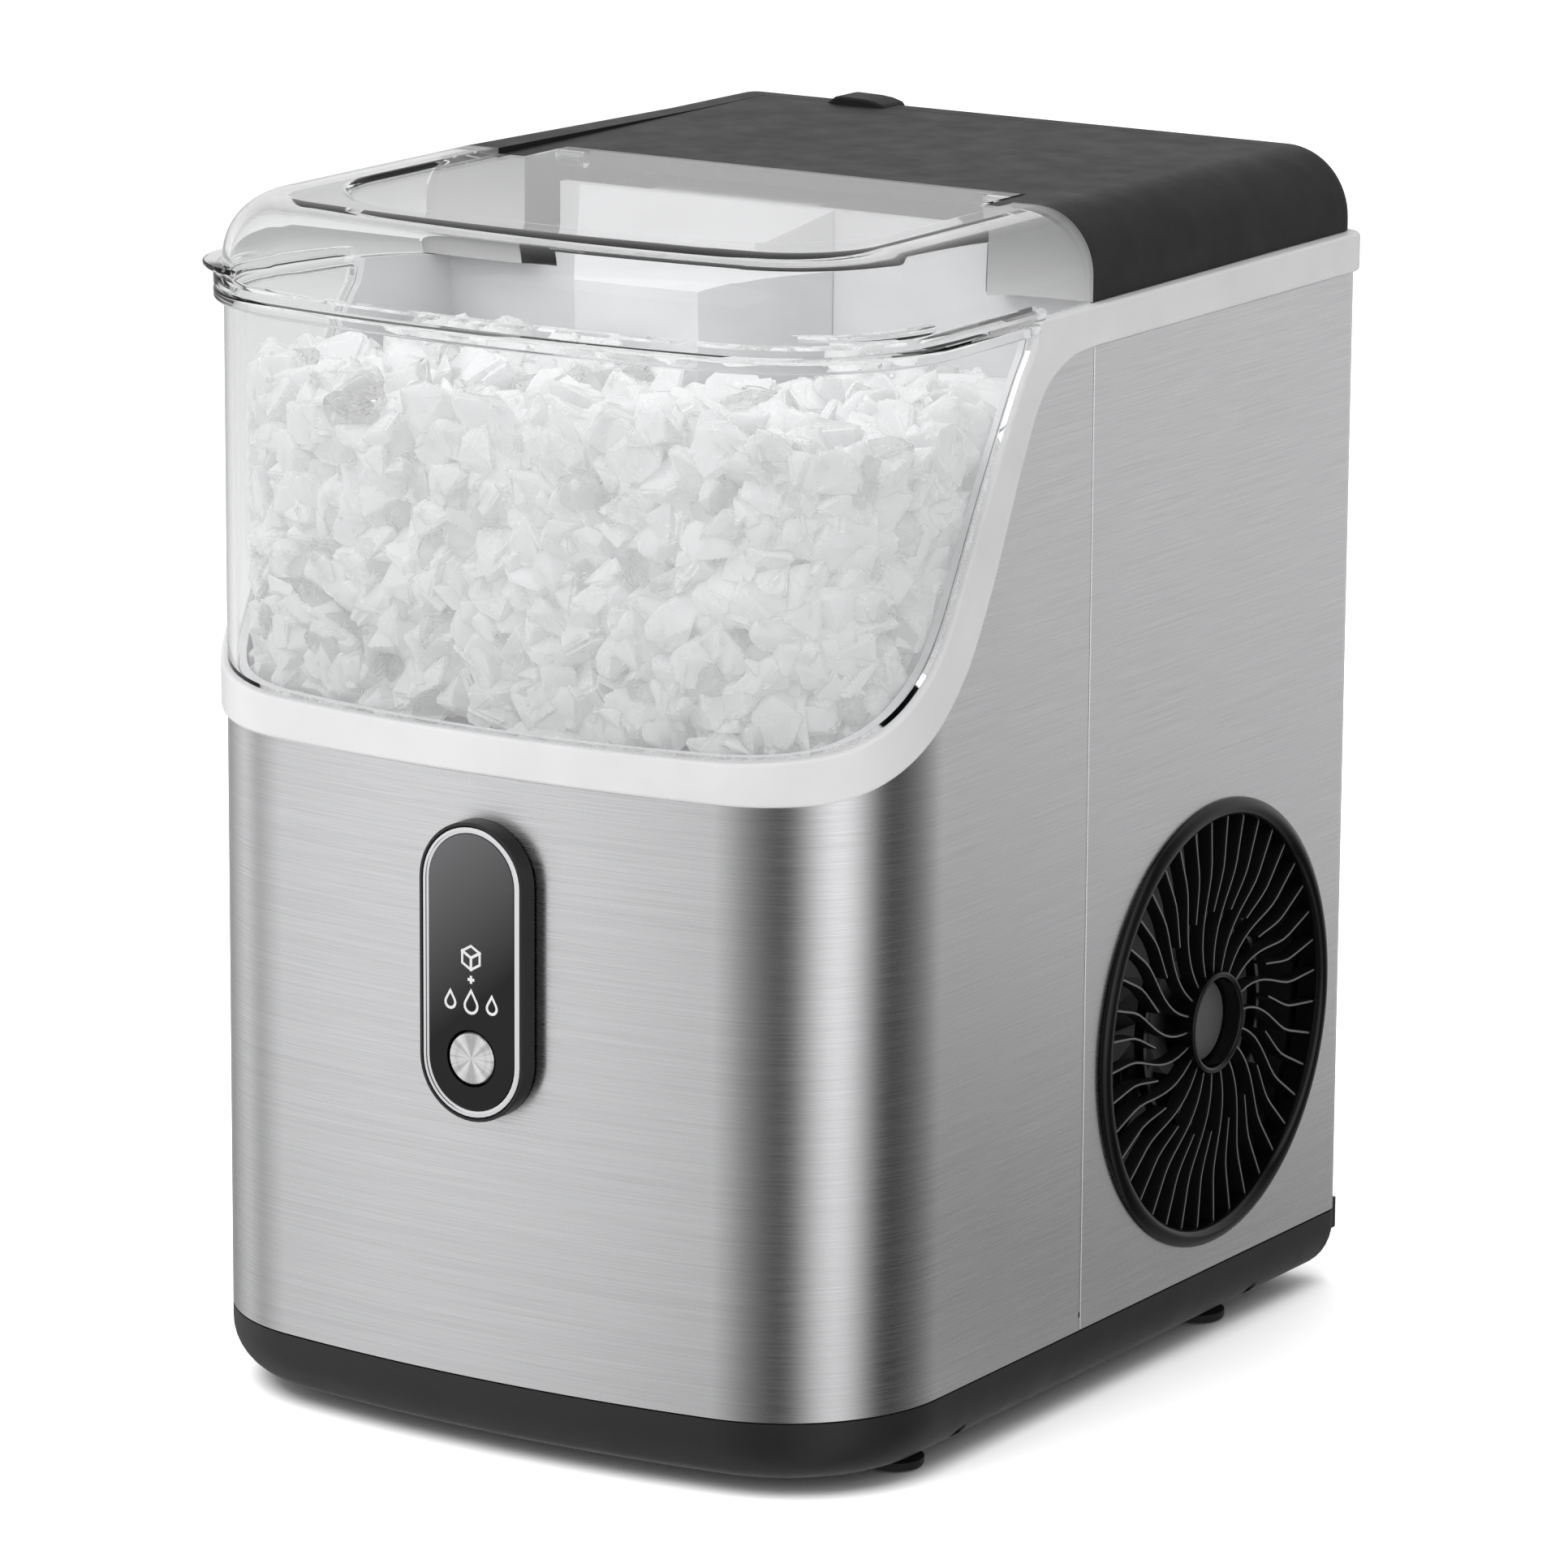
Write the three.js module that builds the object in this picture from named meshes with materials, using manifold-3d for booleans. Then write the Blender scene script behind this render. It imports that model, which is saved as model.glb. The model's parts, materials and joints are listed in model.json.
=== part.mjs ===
// Countertop nugget ice maker with a clear ice window and a hinged clear lid.
// Millimetres, +X to the right seen from the front, front towards -Y, +Z up.
// The origin is on the floor, under the middle of the object.
import * as THREE from "three";
import { mergeVertices } from "three/addons/utils/BufferGeometryUtils.js";
import { ConvexGeometry } from "three/addons/geometries/ConvexGeometry.js";
import Module from "manifold-3d";

const wasm = await Module();
wasm.setup();

// ---- driving dimensions -------------------------------------------------------------------
const GAP = 0.3; // clearance between pieces that touch

const HALF_WIDTH = 112.5; // steel casing, seen from above
const REAR_Y = 141;
const REAR_RADIUS = 6;
const BOW_RADIUS = 495.3; // the bowed front
const BOW_APEX_Y = -141;
const CORNER_RADIUS = 48.7; // front corners

const BASE_BOTTOM = 3;
const BASE_TOP = 22;
const BASE_EDGE_RADIUS = 15;
const BASE_WALL = 2.5;
const STEEL = 1.2; // sheet thickness
const SEAM_Y = -10.3; // between the front wrap and the side panels

const TRIM_PROUD = 1.8;
const TRIM_DEPTH = 3.1; // how far the trim reaches inside the casing's face
const TRIM_TOP = 313.5;
const TRIM_TOP_FRONT_Y = -42;

const WINDOW_WALL = 2.5;
const RIM_PROUD = 2.9;
const RIM_BOTTOM = 310;
const RIM_TOP = 313.2;
const LINER_WALL = 2;
const LINER_OFFSET = -(TRIM_DEPTH + GAP);
const COMPARTMENT_FLOOR = 200;
const LINER_BACK_Y = 3;

const LID_HALF_WIDTH = 111;
const LID_CORNER_RADIUS = 44;
const LID_EDGE_RADIUS = 18;
const LID_BOTTOM = 313.8;
const LID_FLANGE_TOP = 317;
const LID_TOP = 339;
const LID_WALL = 2.2;
const RECESS_FLOOR = 337.6; // sunken panel that the lid and the cover share
const RECESS_HALF_WIDTH = 85;
const RECESS_FRONT_Y = -112;
const JOINT_Y = -10; // the lid's rear edge at its two sides
const JOINT_GAP = 0.7; // lets the lid swing past the cover's ears
const TONGUE_HALF_WIDTH = 75.5; // the middle of the lid reaches back between the cover's ears
const TONGUE_REAR_Y = 12;
const HINGE_Y = 8.5;
const HINGE_Z = 334.2;
const HINGE_PIN_RADIUS = 1.5;

const COVER_HALF_WIDTH = 110;
const COVER_TOP = 337.3;
const COVER_EDGE_RADIUS = 20;
const COVER_WALL = 2.5;
const COVER_FRONT_Y = 13.7;

const PANEL_Z = 138.8; // centre of the pill-shaped control panel
const PANEL_RADIUS = 17;
const PANEL_HEIGHT = 83.5;
const PANEL_FACE_Y = -147;
const BUTTON_Z = 114.8;
const BUTTON_RADIUS = 7.25;
const BUTTON_WELL_RADIUS = 8;

const FAN_Y = 63;
const FAN_Z = 95.5;
const FAN_MOTOR_RADIUS = 15;
const GRILLE_RADIUS = 65;
const GRILLE_MOUTH_RADIUS = 59.6;
const GRILLE_HOLE_RADIUS = 62;
const HUB_RADIUS = 14.8;
const RIB_COUNT = 20;

const AUGER_X = -20;
const AUGER_Y = 42;
const SHAFT_RADIUS = 6;
const BARREL_RADIUS = 26;
const GEAR_CENTRES = 48; // distance between the gear's and the pinion's axes
const GEAR_Z = 130;
const GEAR_THICKNESS = 12;
const GEAR_MODULE = 2;
const GEAR_TEETH = 36;
const PINION_TEETH = 12;

const COMPRESSOR_X = -58;
const COMPRESSOR_Y = 82;
const COMPRESSOR_TOP = 118;

const SPOUT_X = 72;
const SPOUT_Z = 40;
const INLET_X = -64;
const INLET_Z = 46;

// ---- materials ----------------------------------------------------------------------------
const finish = (color, roughness, metalness = 0, opacity = 1) =>
  new THREE.MeshStandardMaterial({
    color,
    roughness,
    metalness,
    opacity,
    transparent: opacity < 1,
  });
const FINISH = {
  steel: finish(0xc4c4c6, 0.32, 1),
  blackPlastic: finish(0x2e2e30, 0.5),
  glossBlack: finish(0x0c0c0d, 0.12),
  whitePlastic: finish(0xededf0, 0.4),
  clearPlastic: finish(0xf2f5f7, 0.08, 0, 0.3),
  chrome: finish(0xe0e0e2, 0.12, 1),
  rubber: finish(0x1c1c1d, 0.8),
  greyPlastic: finish(0x5b5b5e, 0.55),
  galvanised: finish(0xa9abae, 0.5, 1),
  castMetal: finish(0x1f2022, 0.45, 0.4),
  copper: finish(0xb87350, 0.3, 1),
  aluminium: finish(0xcfd1d3, 0.4, 1),
  circuit: finish(0x1e5b39, 0.5),
  ice: finish(0xf4f7fa, 0.2, 0, 0.8),
};

// ---- solids -------------------------------------------------------------------------------
// A closed geometry as a solid that can be joined and cut.
function solid(geometry) {
  const bare = geometry.clone();
  bare.deleteAttribute("normal");
  bare.deleteAttribute("uv");
  const merged = mergeVertices(bare, 1e-4);
  return new wasm.Manifold(
    new wasm.Mesh({
      numProp: 3,
      vertProperties: merged.attributes.position.array,
      triVerts: new Uint32Array(merged.index.array),
    }),
  );
}

const join = (first, ...others) => others.reduce((a, b) => a.add(b), first);
const cut = (first, ...others) => others.reduce((a, b) => a.subtract(b), first);

function geometryOf(shape) {
  const { vertProperties, triVerts } = shape.getMesh();
  const geometry = new THREE.BufferGeometry();
  geometry.setAttribute("position", new THREE.BufferAttribute(vertProperties, 3));
  geometry.setIndex(new THREE.BufferAttribute(triVerts, 1));
  geometry.computeVertexNormals();
  return geometry;
}

const iceMaker = new THREE.Group();
iceMaker.name = "ice_maker";

function place(name, shape, material, x = 0, y = 0, z = 0) {
  const mesh = new THREE.Mesh(geometryOf(shape), material);
  mesh.name = name;
  mesh.position.set(x, y, z);
  iceMaker.add(mesh);
  return mesh;
}

// A box between two corners.
function block(x0, y0, z0, x1, y1, z1) {
  const geometry = new THREE.BoxGeometry(x1 - x0, y1 - y0, z1 - z0);
  geometry.translate((x0 + x1) / 2, (y0 + y1) / 2, (z0 + z1) / 2);
  return solid(geometry);
}

// A prism of a plan outline between two heights.
function prism(shape, z0, z1, curveSegments = 4) {
  const geometry = new THREE.ExtrudeGeometry(shape, {
    depth: z1 - z0,
    bevelEnabled: false,
    curveSegments,
  });
  geometry.translate(0, 0, z0);
  return solid(geometry);
}

const ALONG_X = new THREE.Matrix4().makeBasis(
  new THREE.Vector3(0, 1, 0),
  new THREE.Vector3(0, 0, 1),
  new THREE.Vector3(1, 0, 0),
);
const ALONG_Y = new THREE.Matrix4().makeBasis(
  new THREE.Vector3(0, 0, 1),
  new THREE.Vector3(1, 0, 0),
  new THREE.Vector3(0, 1, 0),
);

// A side outline, drawn in (y, z), run from one x to another.
function sidePrism(shape, x0, x1, curveSegments = 2) {
  const geometry = new THREE.ExtrudeGeometry(shape, {
    depth: x1 - x0,
    bevelEnabled: false,
    curveSegments,
  });
  geometry.applyMatrix4(ALONG_X);
  geometry.translate(x0, 0, 0);
  return solid(geometry);
}

// A front outline, drawn in (z, x), run from one y to another.
function frontPrism(shape, y0, y1, curveSegments = 6) {
  const geometry = new THREE.ExtrudeGeometry(shape, {
    depth: y1 - y0,
    bevelEnabled: false,
    curveSegments,
  });
  geometry.applyMatrix4(ALONG_Y);
  geometry.translate(0, y0, 0);
  return solid(geometry);
}

function polygon(points) {
  return new THREE.Shape(points.map(([a, b]) => new THREE.Vector2(a, b)));
}

// A turned piece about an axis through (x, y, z), from (radius, height) pairs that start and end
// on the axis or close on themselves.
function turned(profile, axis = "z", at = [0, 0, 0], segments = 24) {
  const points = profile.map(([r, h]) => new THREE.Vector2(r, h));
  const geometry = new THREE.LatheGeometry(points, segments);
  if (axis !== "y") geometry.rotateX(Math.PI / 2);
  if (axis === "x") geometry.rotateY(Math.PI / 2);
  geometry.translate(...at);
  return solid(geometry);
}

function rod(radius, from, to, axis = "z", at = [0, 0, 0], segments = 24) {
  return turned([[0, from], [radius, from], [radius, to], [0, to]], axis, at, segments);
}

function collar(inner, outer, from, to, axis = "z", at = [0, 0, 0], segments = 24) {
  const profile = [[inner, from], [outer, from], [outer, to], [inner, to], [inner, from]];
  return turned(profile, axis, at, segments);
}

function hull(points) {
  return solid(new ConvexGeometry(points.map(([x, y, z]) => new THREE.Vector3(x, y, z))));
}

// A tube along a smooth path.
function pipe(points, radius, steps, sides = 8) {
  const path = new THREE.CatmullRomCurve3(points.map((p) => new THREE.Vector3(...p)));
  const section = new THREE.Shape();
  for (let i = 0; i < sides; i += 1) {
    const angle = (2 * Math.PI * i) / sides;
    const point = [radius * Math.cos(angle), radius * Math.sin(angle)];
    if (i === 0) section.moveTo(...point);
    else section.lineTo(...point);
  }
  section.closePath();
  return solid(new THREE.ExtrudeGeometry(section, { extrudePath: path, steps }));
}

// ---- outlines -----------------------------------------------------------------------------
// The casing seen from above: bowed front, round front corners, straight sides, small rear corners.
function planShape(offset, halfWidth = HALF_WIDTH, corner = CORNER_RADIUS, apexY = BOW_APEX_Y) {
  const bowY = apexY + BOW_RADIUS;
  const cornerX = halfWidth - corner;
  const cornerY = bowY - Math.sqrt((BOW_RADIUS - corner) ** 2 - cornerX ** 2);
  const swing = Math.atan2(bowY - cornerY, cornerX); // where the corner meets the bow
  const rear = Math.max(REAR_RADIUS + offset, 0.5);
  const rearX = halfWidth + offset - rear;
  const rearY = REAR_Y + offset - rear;
  const shape = new THREE.Shape();
  shape.moveTo(halfWidth + offset, cornerY);
  shape.absarc(rearX, rearY, rear, 0, Math.PI / 2);
  shape.absarc(-rearX, rearY, rear, Math.PI / 2, Math.PI);
  shape.absarc(-cornerX, cornerY, corner + offset, Math.PI, Math.PI + swing);
  shape.absarc(0, bowY, BOW_RADIUS + offset, Math.PI + swing, 2 * Math.PI - swing);
  shape.absarc(cornerX, cornerY, corner + offset, 2 * Math.PI - swing, 2 * Math.PI);
  return shape;
}

// A wall that follows the casing's outline, between two offsets and two heights.
function planWall(outer, inner, z0, z1) {
  return cut(prism(planShape(outer), z0, z1), prism(planShape(inner), z0 - 1, z1 + 1));
}

// The casing's top edge seen from the side, as (y, z): level along the side, then an S down to the
// front. The trim band lies between this edge and the ice window's edge.
const FAR_FRONT = -160;
const FAR_REAR = 160;
const casingEdge = (shift) => ({
  start: [-12 + shift, 302.3 - shift],
  curve: [
    [-26, 300.6],
    [-39.5, 292.8],
    [-50, 275.2],
    [-57.5, 259.5],
    [-66, 242],
    [-78.6, 221.9],
    [-96.1, 206.6],
    [-115.1, 196.3],
    [-132.7, 193.1],
  ].map(([y, z]) => new THREE.Vector2(y + shift, z - shift)),
  end: [FAR_FRONT, 193.1 - shift],
});
const windowEdge = (shift) => ({
  start: [-141, 204.3 + shift],
  curve: [
    [-130, 206],
    [-119, 208.6],
    [-108, 214.2],
    [-97.5, 223],
    [-88, 234],
    [-81.3, 245.1],
    [-67.2, 270.2],
    [-51.3, 296.2],
    [-44.6, 305.5],
    [TRIM_TOP_FRONT_Y, TRIM_TOP],
  ].map(([y, z]) => new THREE.Vector2(y - shift, z + shift)),
});

// Everything below the casing's edge, from one y to another.
function belowCasingEdge() {
  const { start, curve, end } = casingEdge(GAP);
  const shape = new THREE.Shape();
  shape.moveTo(FAR_REAR, 0);
  shape.lineTo(FAR_REAR, start[1]);
  shape.lineTo(...start);
  shape.splineThru(curve);
  shape.lineTo(...end);
  shape.lineTo(FAR_FRONT, 0);
  return sidePrism(shape, -HALF_WIDTH - 5, HALF_WIDTH + 5);
}

function trimOutline() {
  const lower = casingEdge(0);
  const upper = windowEdge(0);
  const shape = new THREE.Shape();
  shape.moveTo(FAR_REAR, lower.start[1]);
  shape.lineTo(...lower.start);
  shape.splineThru(lower.curve);
  shape.lineTo(...lower.end);
  shape.lineTo(FAR_FRONT, upper.start[1]);
  shape.lineTo(...upper.start);
  shape.splineThru(upper.curve);
  shape.lineTo(FAR_REAR, TRIM_TOP);
  return shape;
}

// In front of and above the window's edge.
function windowOutline() {
  const { start, curve } = windowEdge(GAP);
  const shape = new THREE.Shape();
  shape.moveTo(FAR_FRONT, start[1]);
  shape.lineTo(...start);
  shape.splineThru(curve);
  shape.lineTo(FAR_FRONT, TRIM_TOP + GAP);
  return shape;
}

// Behind and below the window's edge, down to the compartment's floor.
function linerOutline() {
  const { start, curve } = windowEdge(-GAP);
  const shape = new THREE.Shape();
  shape.moveTo(FAR_FRONT, COMPARTMENT_FLOOR);
  shape.lineTo(FAR_FRONT, start[1]);
  shape.lineTo(...start);
  shape.splineThru(curve);
  shape.lineTo(LINER_BACK_Y, TRIM_TOP - GAP);
  shape.lineTo(LINER_BACK_Y, COMPARTMENT_FLOOR);
  return shape;
}

// A pill standing on its end, drawn in (z, x).
function pill(radius) {
  const straight = PANEL_HEIGHT / 2 - PANEL_RADIUS;
  const shape = new THREE.Shape();
  shape.absarc(PANEL_Z + straight, 0, radius, -Math.PI / 2, Math.PI / 2);
  shape.absarc(PANEL_Z - straight, 0, radius, Math.PI / 2, 1.5 * Math.PI);
  return shape;
}

const ARC_STEPS = 4;
const quarterTurn = Array.from({ length: ARC_STEPS + 1 }, (_, i) => (i * Math.PI) / 2 / ARC_STEPS);

// The front part of a plan outline at one height, run straight back to a given y.
function levelPoints(offset, halfWidth, corner, z, rearY) {
  const front = planShape(offset, halfWidth, corner)
    .getPoints(3)
    .filter((p) => p.y < -30)
    .map((p) => [p.x, p.y, z]);
  const x = halfWidth + offset;
  return [...front, [x, rearY, z], [-x, rearY, z]];
}

// ---- base and feet ------------------------------------------------------------------------
function trayHull(offset, edge, bottom, top) {
  const centreZ = BASE_BOTTOM + BASE_EDGE_RADIUS;
  const drop = centreZ - bottom;
  const ringAt = (inset, z) =>
    planShape(offset - inset)
      .getPoints(3)
      .map((p) => [p.x, p.y, z]);
  const levels = quarterTurn.map((t) =>
    ringAt(edge * (1 - Math.cos(t)), centreZ - drop * Math.sin(t)),
  );
  return hull([ringAt(0, top), ...levels].flat());
}

function makeBase() {
  const outer = trayHull(0, BASE_EDGE_RADIUS, BASE_BOTTOM, BASE_TOP);
  const inner = trayHull(-BASE_WALL, BASE_EDGE_RADIUS - BASE_WALL, BASE_BOTTOM + 3, BASE_TOP + 1);
  const notches = [-68, 95].flatMap((y) => [
    rod(2.6, 100, 118, "x", [0, y, 8], 12),
    rod(2.6, -118, -100, "x", [0, y, 8], 12),
  ]);
  const floorSlots = [-3, -2, -1, 0, 1, 2, 3].map((i) =>
    block(i * 9 - 2, -40, 0, i * 9 + 2, 10, 8),
  );
  const cornerLugs = [-1, 1].flatMap((side) => {
    const [x0, x1] = side > 0 ? [104.5, 110] : [-110, -104.5];
    return [
      block(x0, 136, 15, x1, 143, BASE_TOP - 0.2),
      block(x0, REAR_Y + GAP, BASE_TOP - 1, x1, 143, BASE_TOP + 2.2),
    ];
  });
  const tray = cut(outer, inner, ...notches, ...floorSlots);
  place("base_tray", cut(join(tray, ...cornerLugs), inner), FINISH.blackPlastic);
}

function makeFeet() {
  const profile = [[0, 0], [7.8, 0], [8.5, 0.7], [8.5, BASE_BOTTOM - GAP], [0, BASE_BOTTOM - GAP]];
  for (const [row, y] of [["front", -83.5], ["rear", 83.5]]) {
    for (const [side, x] of [["left", -96.6], ["right", 96.6]]) {
      place(`foot_${row}_${side}`, turned(profile, "z", [0, 0, 0], 16), FINISH.rubber, x, y);
    }
  }
}

// ---- steel casing -------------------------------------------------------------------------
const REAR_OPENING = 104; // half the width of the rear panel's opening
const SCREW_PLACES = [-98, 98].flatMap((x) => [60, 170, 285].map((z) => [x, z]));
const SPOUT_BORE = 5;
const SPOUT_RADIUS = 8;

function makeCasing() {
  const skin = planWall(0, -STEEL, BASE_TOP + GAP, 310).intersect(belowCasingEdge());
  const wide = HALF_WIDTH + 10;
  const front = block(-wide, FAR_FRONT, 0, wide, SEAM_Y - GAP / 2, 320);
  const panelHole = frontPrism(pill(PANEL_RADIUS - 2.4), -150, -120);
  place("front_wrap", cut(skin.intersect(front), panelHole), FINISH.steel);

  const rearOpening = block(-REAR_OPENING, 120, 0, REAR_OPENING, 150, 320);
  const grilleHole = rod(GRILLE_HOLE_RADIUS, 100, 120, "x", [0, FAN_Y, FAN_Z], 48);
  const right = block(0, SEAM_Y + GAP / 2, 0, wide, FAR_REAR, 320);
  const left = block(-wide, SEAM_Y + GAP / 2, 0, 0, FAR_REAR, 320);
  place("side_panel_right", cut(skin.intersect(right), rearOpening, grilleHole), FINISH.steel);
  place("side_panel_left", cut(skin.intersect(left), rearOpening), FINISH.steel);
}

function makeRearPanel() {
  const x = REAR_OPENING - GAP;
  const sheet = block(-x, REAR_Y - STEEL, BASE_TOP + GAP, x, REAR_Y, 302);
  const vents = [];
  for (let row = 0; row < 6; row += 1) {
    for (const column of [-1, 0, 1]) {
      const z = 140 + 18 * row;
      vents.push(block(column * 52 - 20, 130, z, column * 52 + 20, 150, z + 4));
    }
  }
  const screwHoles = SCREW_PLACES.map(([sx, sz]) => rod(1.9, 130, 150, "y", [sx, 0, sz], 8));
  const spoutHole = rod(SPOUT_RADIUS + 0.5, 130, 150, "y", [SPOUT_X, 0, SPOUT_Z]);
  const inletHole = block(INLET_X - 15, 130, INLET_Z - 11, INLET_X + 15, 150, INLET_Z + 11);
  place("rear_panel", cut(sheet, ...vents, ...screwHoles, spoutHole, inletHole), FINISH.galvanised);

  const head = REAR_Y + GAP;
  const screw = [
    [0, 131],
    [1.5, 131],
    [1.5, head],
    [3.2, head],
    [3, head + 1.2],
    [0, head + 1.7],
  ];
  SCREW_PLACES.forEach(([sx, sz], i) => {
    place(`rear_screw_${i + 1}`, turned(screw, "y", [0, 0, 0], 8), FINISH.steel, sx, 0, sz);
  });
}

function makeTrim() {
  const band = planWall(TRIM_PROUD, -TRIM_DEPTH, 180, 320);
  const wide = HALF_WIDTH + 10;
  place("trim_band", band.intersect(sidePrism(trimOutline(), -wide, wide)), FINISH.whitePlastic);
}

// ---- ice compartment ----------------------------------------------------------------------
function makeWindow() {
  const wide = HALF_WIDTH + 10;
  const rimRear = TRIM_TOP_FRONT_Y - 2;
  const pane = planWall(0, -WINDOW_WALL, 190, RIM_BOTTOM + 1)
    .intersect(sidePrism(windowOutline(), -wide, wide))
    .intersect(block(-wide, FAR_FRONT, 190, wide, rimRear, RIM_BOTTOM + 1));
  const rim = planWall(RIM_PROUD, -WINDOW_WALL, RIM_BOTTOM, RIM_TOP).intersect(
    block(-wide, FAR_FRONT, 300, wide, rimRear, 320),
  );
  place("ice_window", join(pane, rim), FINISH.clearPlastic);
}

const CHUTE_TOP = 328;
const CHUTE_SHOULDER = 313; // its roof slopes down to here at the front
const CHUTE_BOTTOM = 262;
const CHUTE_LEFT = -63;
const CHUTE_RIGHT = 22;
const CHUTE_FRONT_Y = -35;
const CHUTE_SPLAY = 22; // how far each slanted side steps in from back to front

// The chute's four plan corners, from its left rear round the front, grown outwards by a margin.
function chuteCorners(margin, rearY) {
  return [
    [CHUTE_LEFT - margin, rearY],
    [CHUTE_LEFT + CHUTE_SPLAY - margin * 0.7, CHUTE_FRONT_Y - margin],
    [CHUTE_RIGHT - CHUTE_SPLAY + margin * 0.7, CHUTE_FRONT_Y - margin],
    [CHUTE_RIGHT + margin, rearY],
  ];
}

// The chute's body under its sloping roof.
function chuteHull(margin, rearY, bottom) {
  const corners = chuteCorners(margin, rearY);
  const roof = corners.map(([x, y]) => {
    const top = y < rearY ? CHUTE_SHOULDER : CHUTE_TOP;
    return [x, y, top + margin];
  });
  return hull([...corners.map(([x, y]) => [x, y, bottom]), ...roof]);
}

function makeLiner() {
  const wide = HALF_WIDTH + LINER_OFFSET;
  const walls = planWall(LINER_OFFSET, LINER_OFFSET - LINER_WALL, COMPARTMENT_FLOOR, TRIM_TOP).intersect(
    sidePrism(linerOutline(), -wide - 5, wide + 5),
  );
  const floor = prism(planShape(LINER_OFFSET), COMPARTMENT_FLOOR, COMPARTMENT_FLOOR + LINER_WALL).intersect(
    block(-wide - 1, FAR_FRONT, 190, wide + 1, LINER_BACK_Y, 210),
  );
  const back = block(-wide, 0, COMPARTMENT_FLOOR, wide, LINER_BACK_Y, TRIM_TOP - GAP);
  const raisedBack = block(-70, 0, TRIM_TOP - 10, 70, LINER_BACK_Y, CHUTE_TOP);
  const outlet = block(AUGER_X - 30, -1, 265, AUGER_X + 30, LINER_BACK_Y + 1, 322);
  place("inner_liner", cut(join(walls, floor, back, raisedBack), outlet), FINISH.whitePlastic);
}

function makeChute() {
  const wall = 2;
  const outer = chuteHull(0, -GAP, CHUTE_BOTTOM);
  const inner = chuteHull(-wall, 1, CHUTE_BOTTOM - 1);
  place("ice_chute", cut(outer, inner), FINISH.whitePlastic);
}

function makeIce() {
  const bottom = COMPARTMENT_FLOOR + LINER_WALL + GAP;
  const pile = prism(planShape(LINER_OFFSET - LINER_WALL - GAP), bottom, 296);
  const front = block(-HALF_WIDTH, FAR_FRONT, 190, HALF_WIDTH, -2 * GAP, 320);
  const besideChute = [
    [CHUTE_LEFT - 1, 5],
    ...chuteCorners(1, -GAP),
    [CHUTE_RIGHT + 1, 5],
  ];
  const aroundChute = prism(polygon(besideChute), CHUTE_BOTTOM - 1, 320);
  place("ice_pile", cut(pile.intersect(front), aroundChute), FINISH.ice);
}

// ---- lid and top cover --------------------------------------------------------------------
function lidDome(wall, top, bottom, rearY) {
  const edge = LID_EDGE_RADIUS - wall;
  const levels = quarterTurn.map((t) => {
    const inset = wall + edge * (1 - Math.cos(t));
    const z = top - edge + edge * Math.sin(t);
    return levelPoints(-inset, LID_HALF_WIDTH, LID_CORNER_RADIUS, z, rearY);
  });
  const foot = levelPoints(-wall, LID_HALF_WIDTH, LID_CORNER_RADIUS, bottom, rearY);
  return hull([foot, ...levels].flat());
}

// A finger tab: a crescent round one front corner.
function fingerTab(side) {
  const bowY = BOW_APEX_Y + BOW_RADIUS;
  const cornerX = HALF_WIDTH - CORNER_RADIUS;
  const cornerY = bowY - Math.sqrt((BOW_RADIUS - CORNER_RADIUS) ** 2 - cornerX ** 2);
  const steps = 8;
  const from = -0.98; // radians round the corner's centre
  const to = -0.12;
  const outer = [];
  const inner = [];
  for (let i = 0; i <= steps; i += 1) {
    const angle = from + ((to - from) * i) / steps;
    const reach = CORNER_RADIUS - 1 + 6 * Math.sin((Math.PI * i) / steps);
    const at = (r) => [side * (cornerX + r * Math.cos(angle)), cornerY + r * Math.sin(angle)];
    outer.push(at(reach));
    inner.unshift(at(CORNER_RADIUS - 2.4));
  }
  return prism(polygon([...outer, ...inner]), LID_FLANGE_TOP + 1.2, LID_FLANGE_TOP + 3);
}

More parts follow.
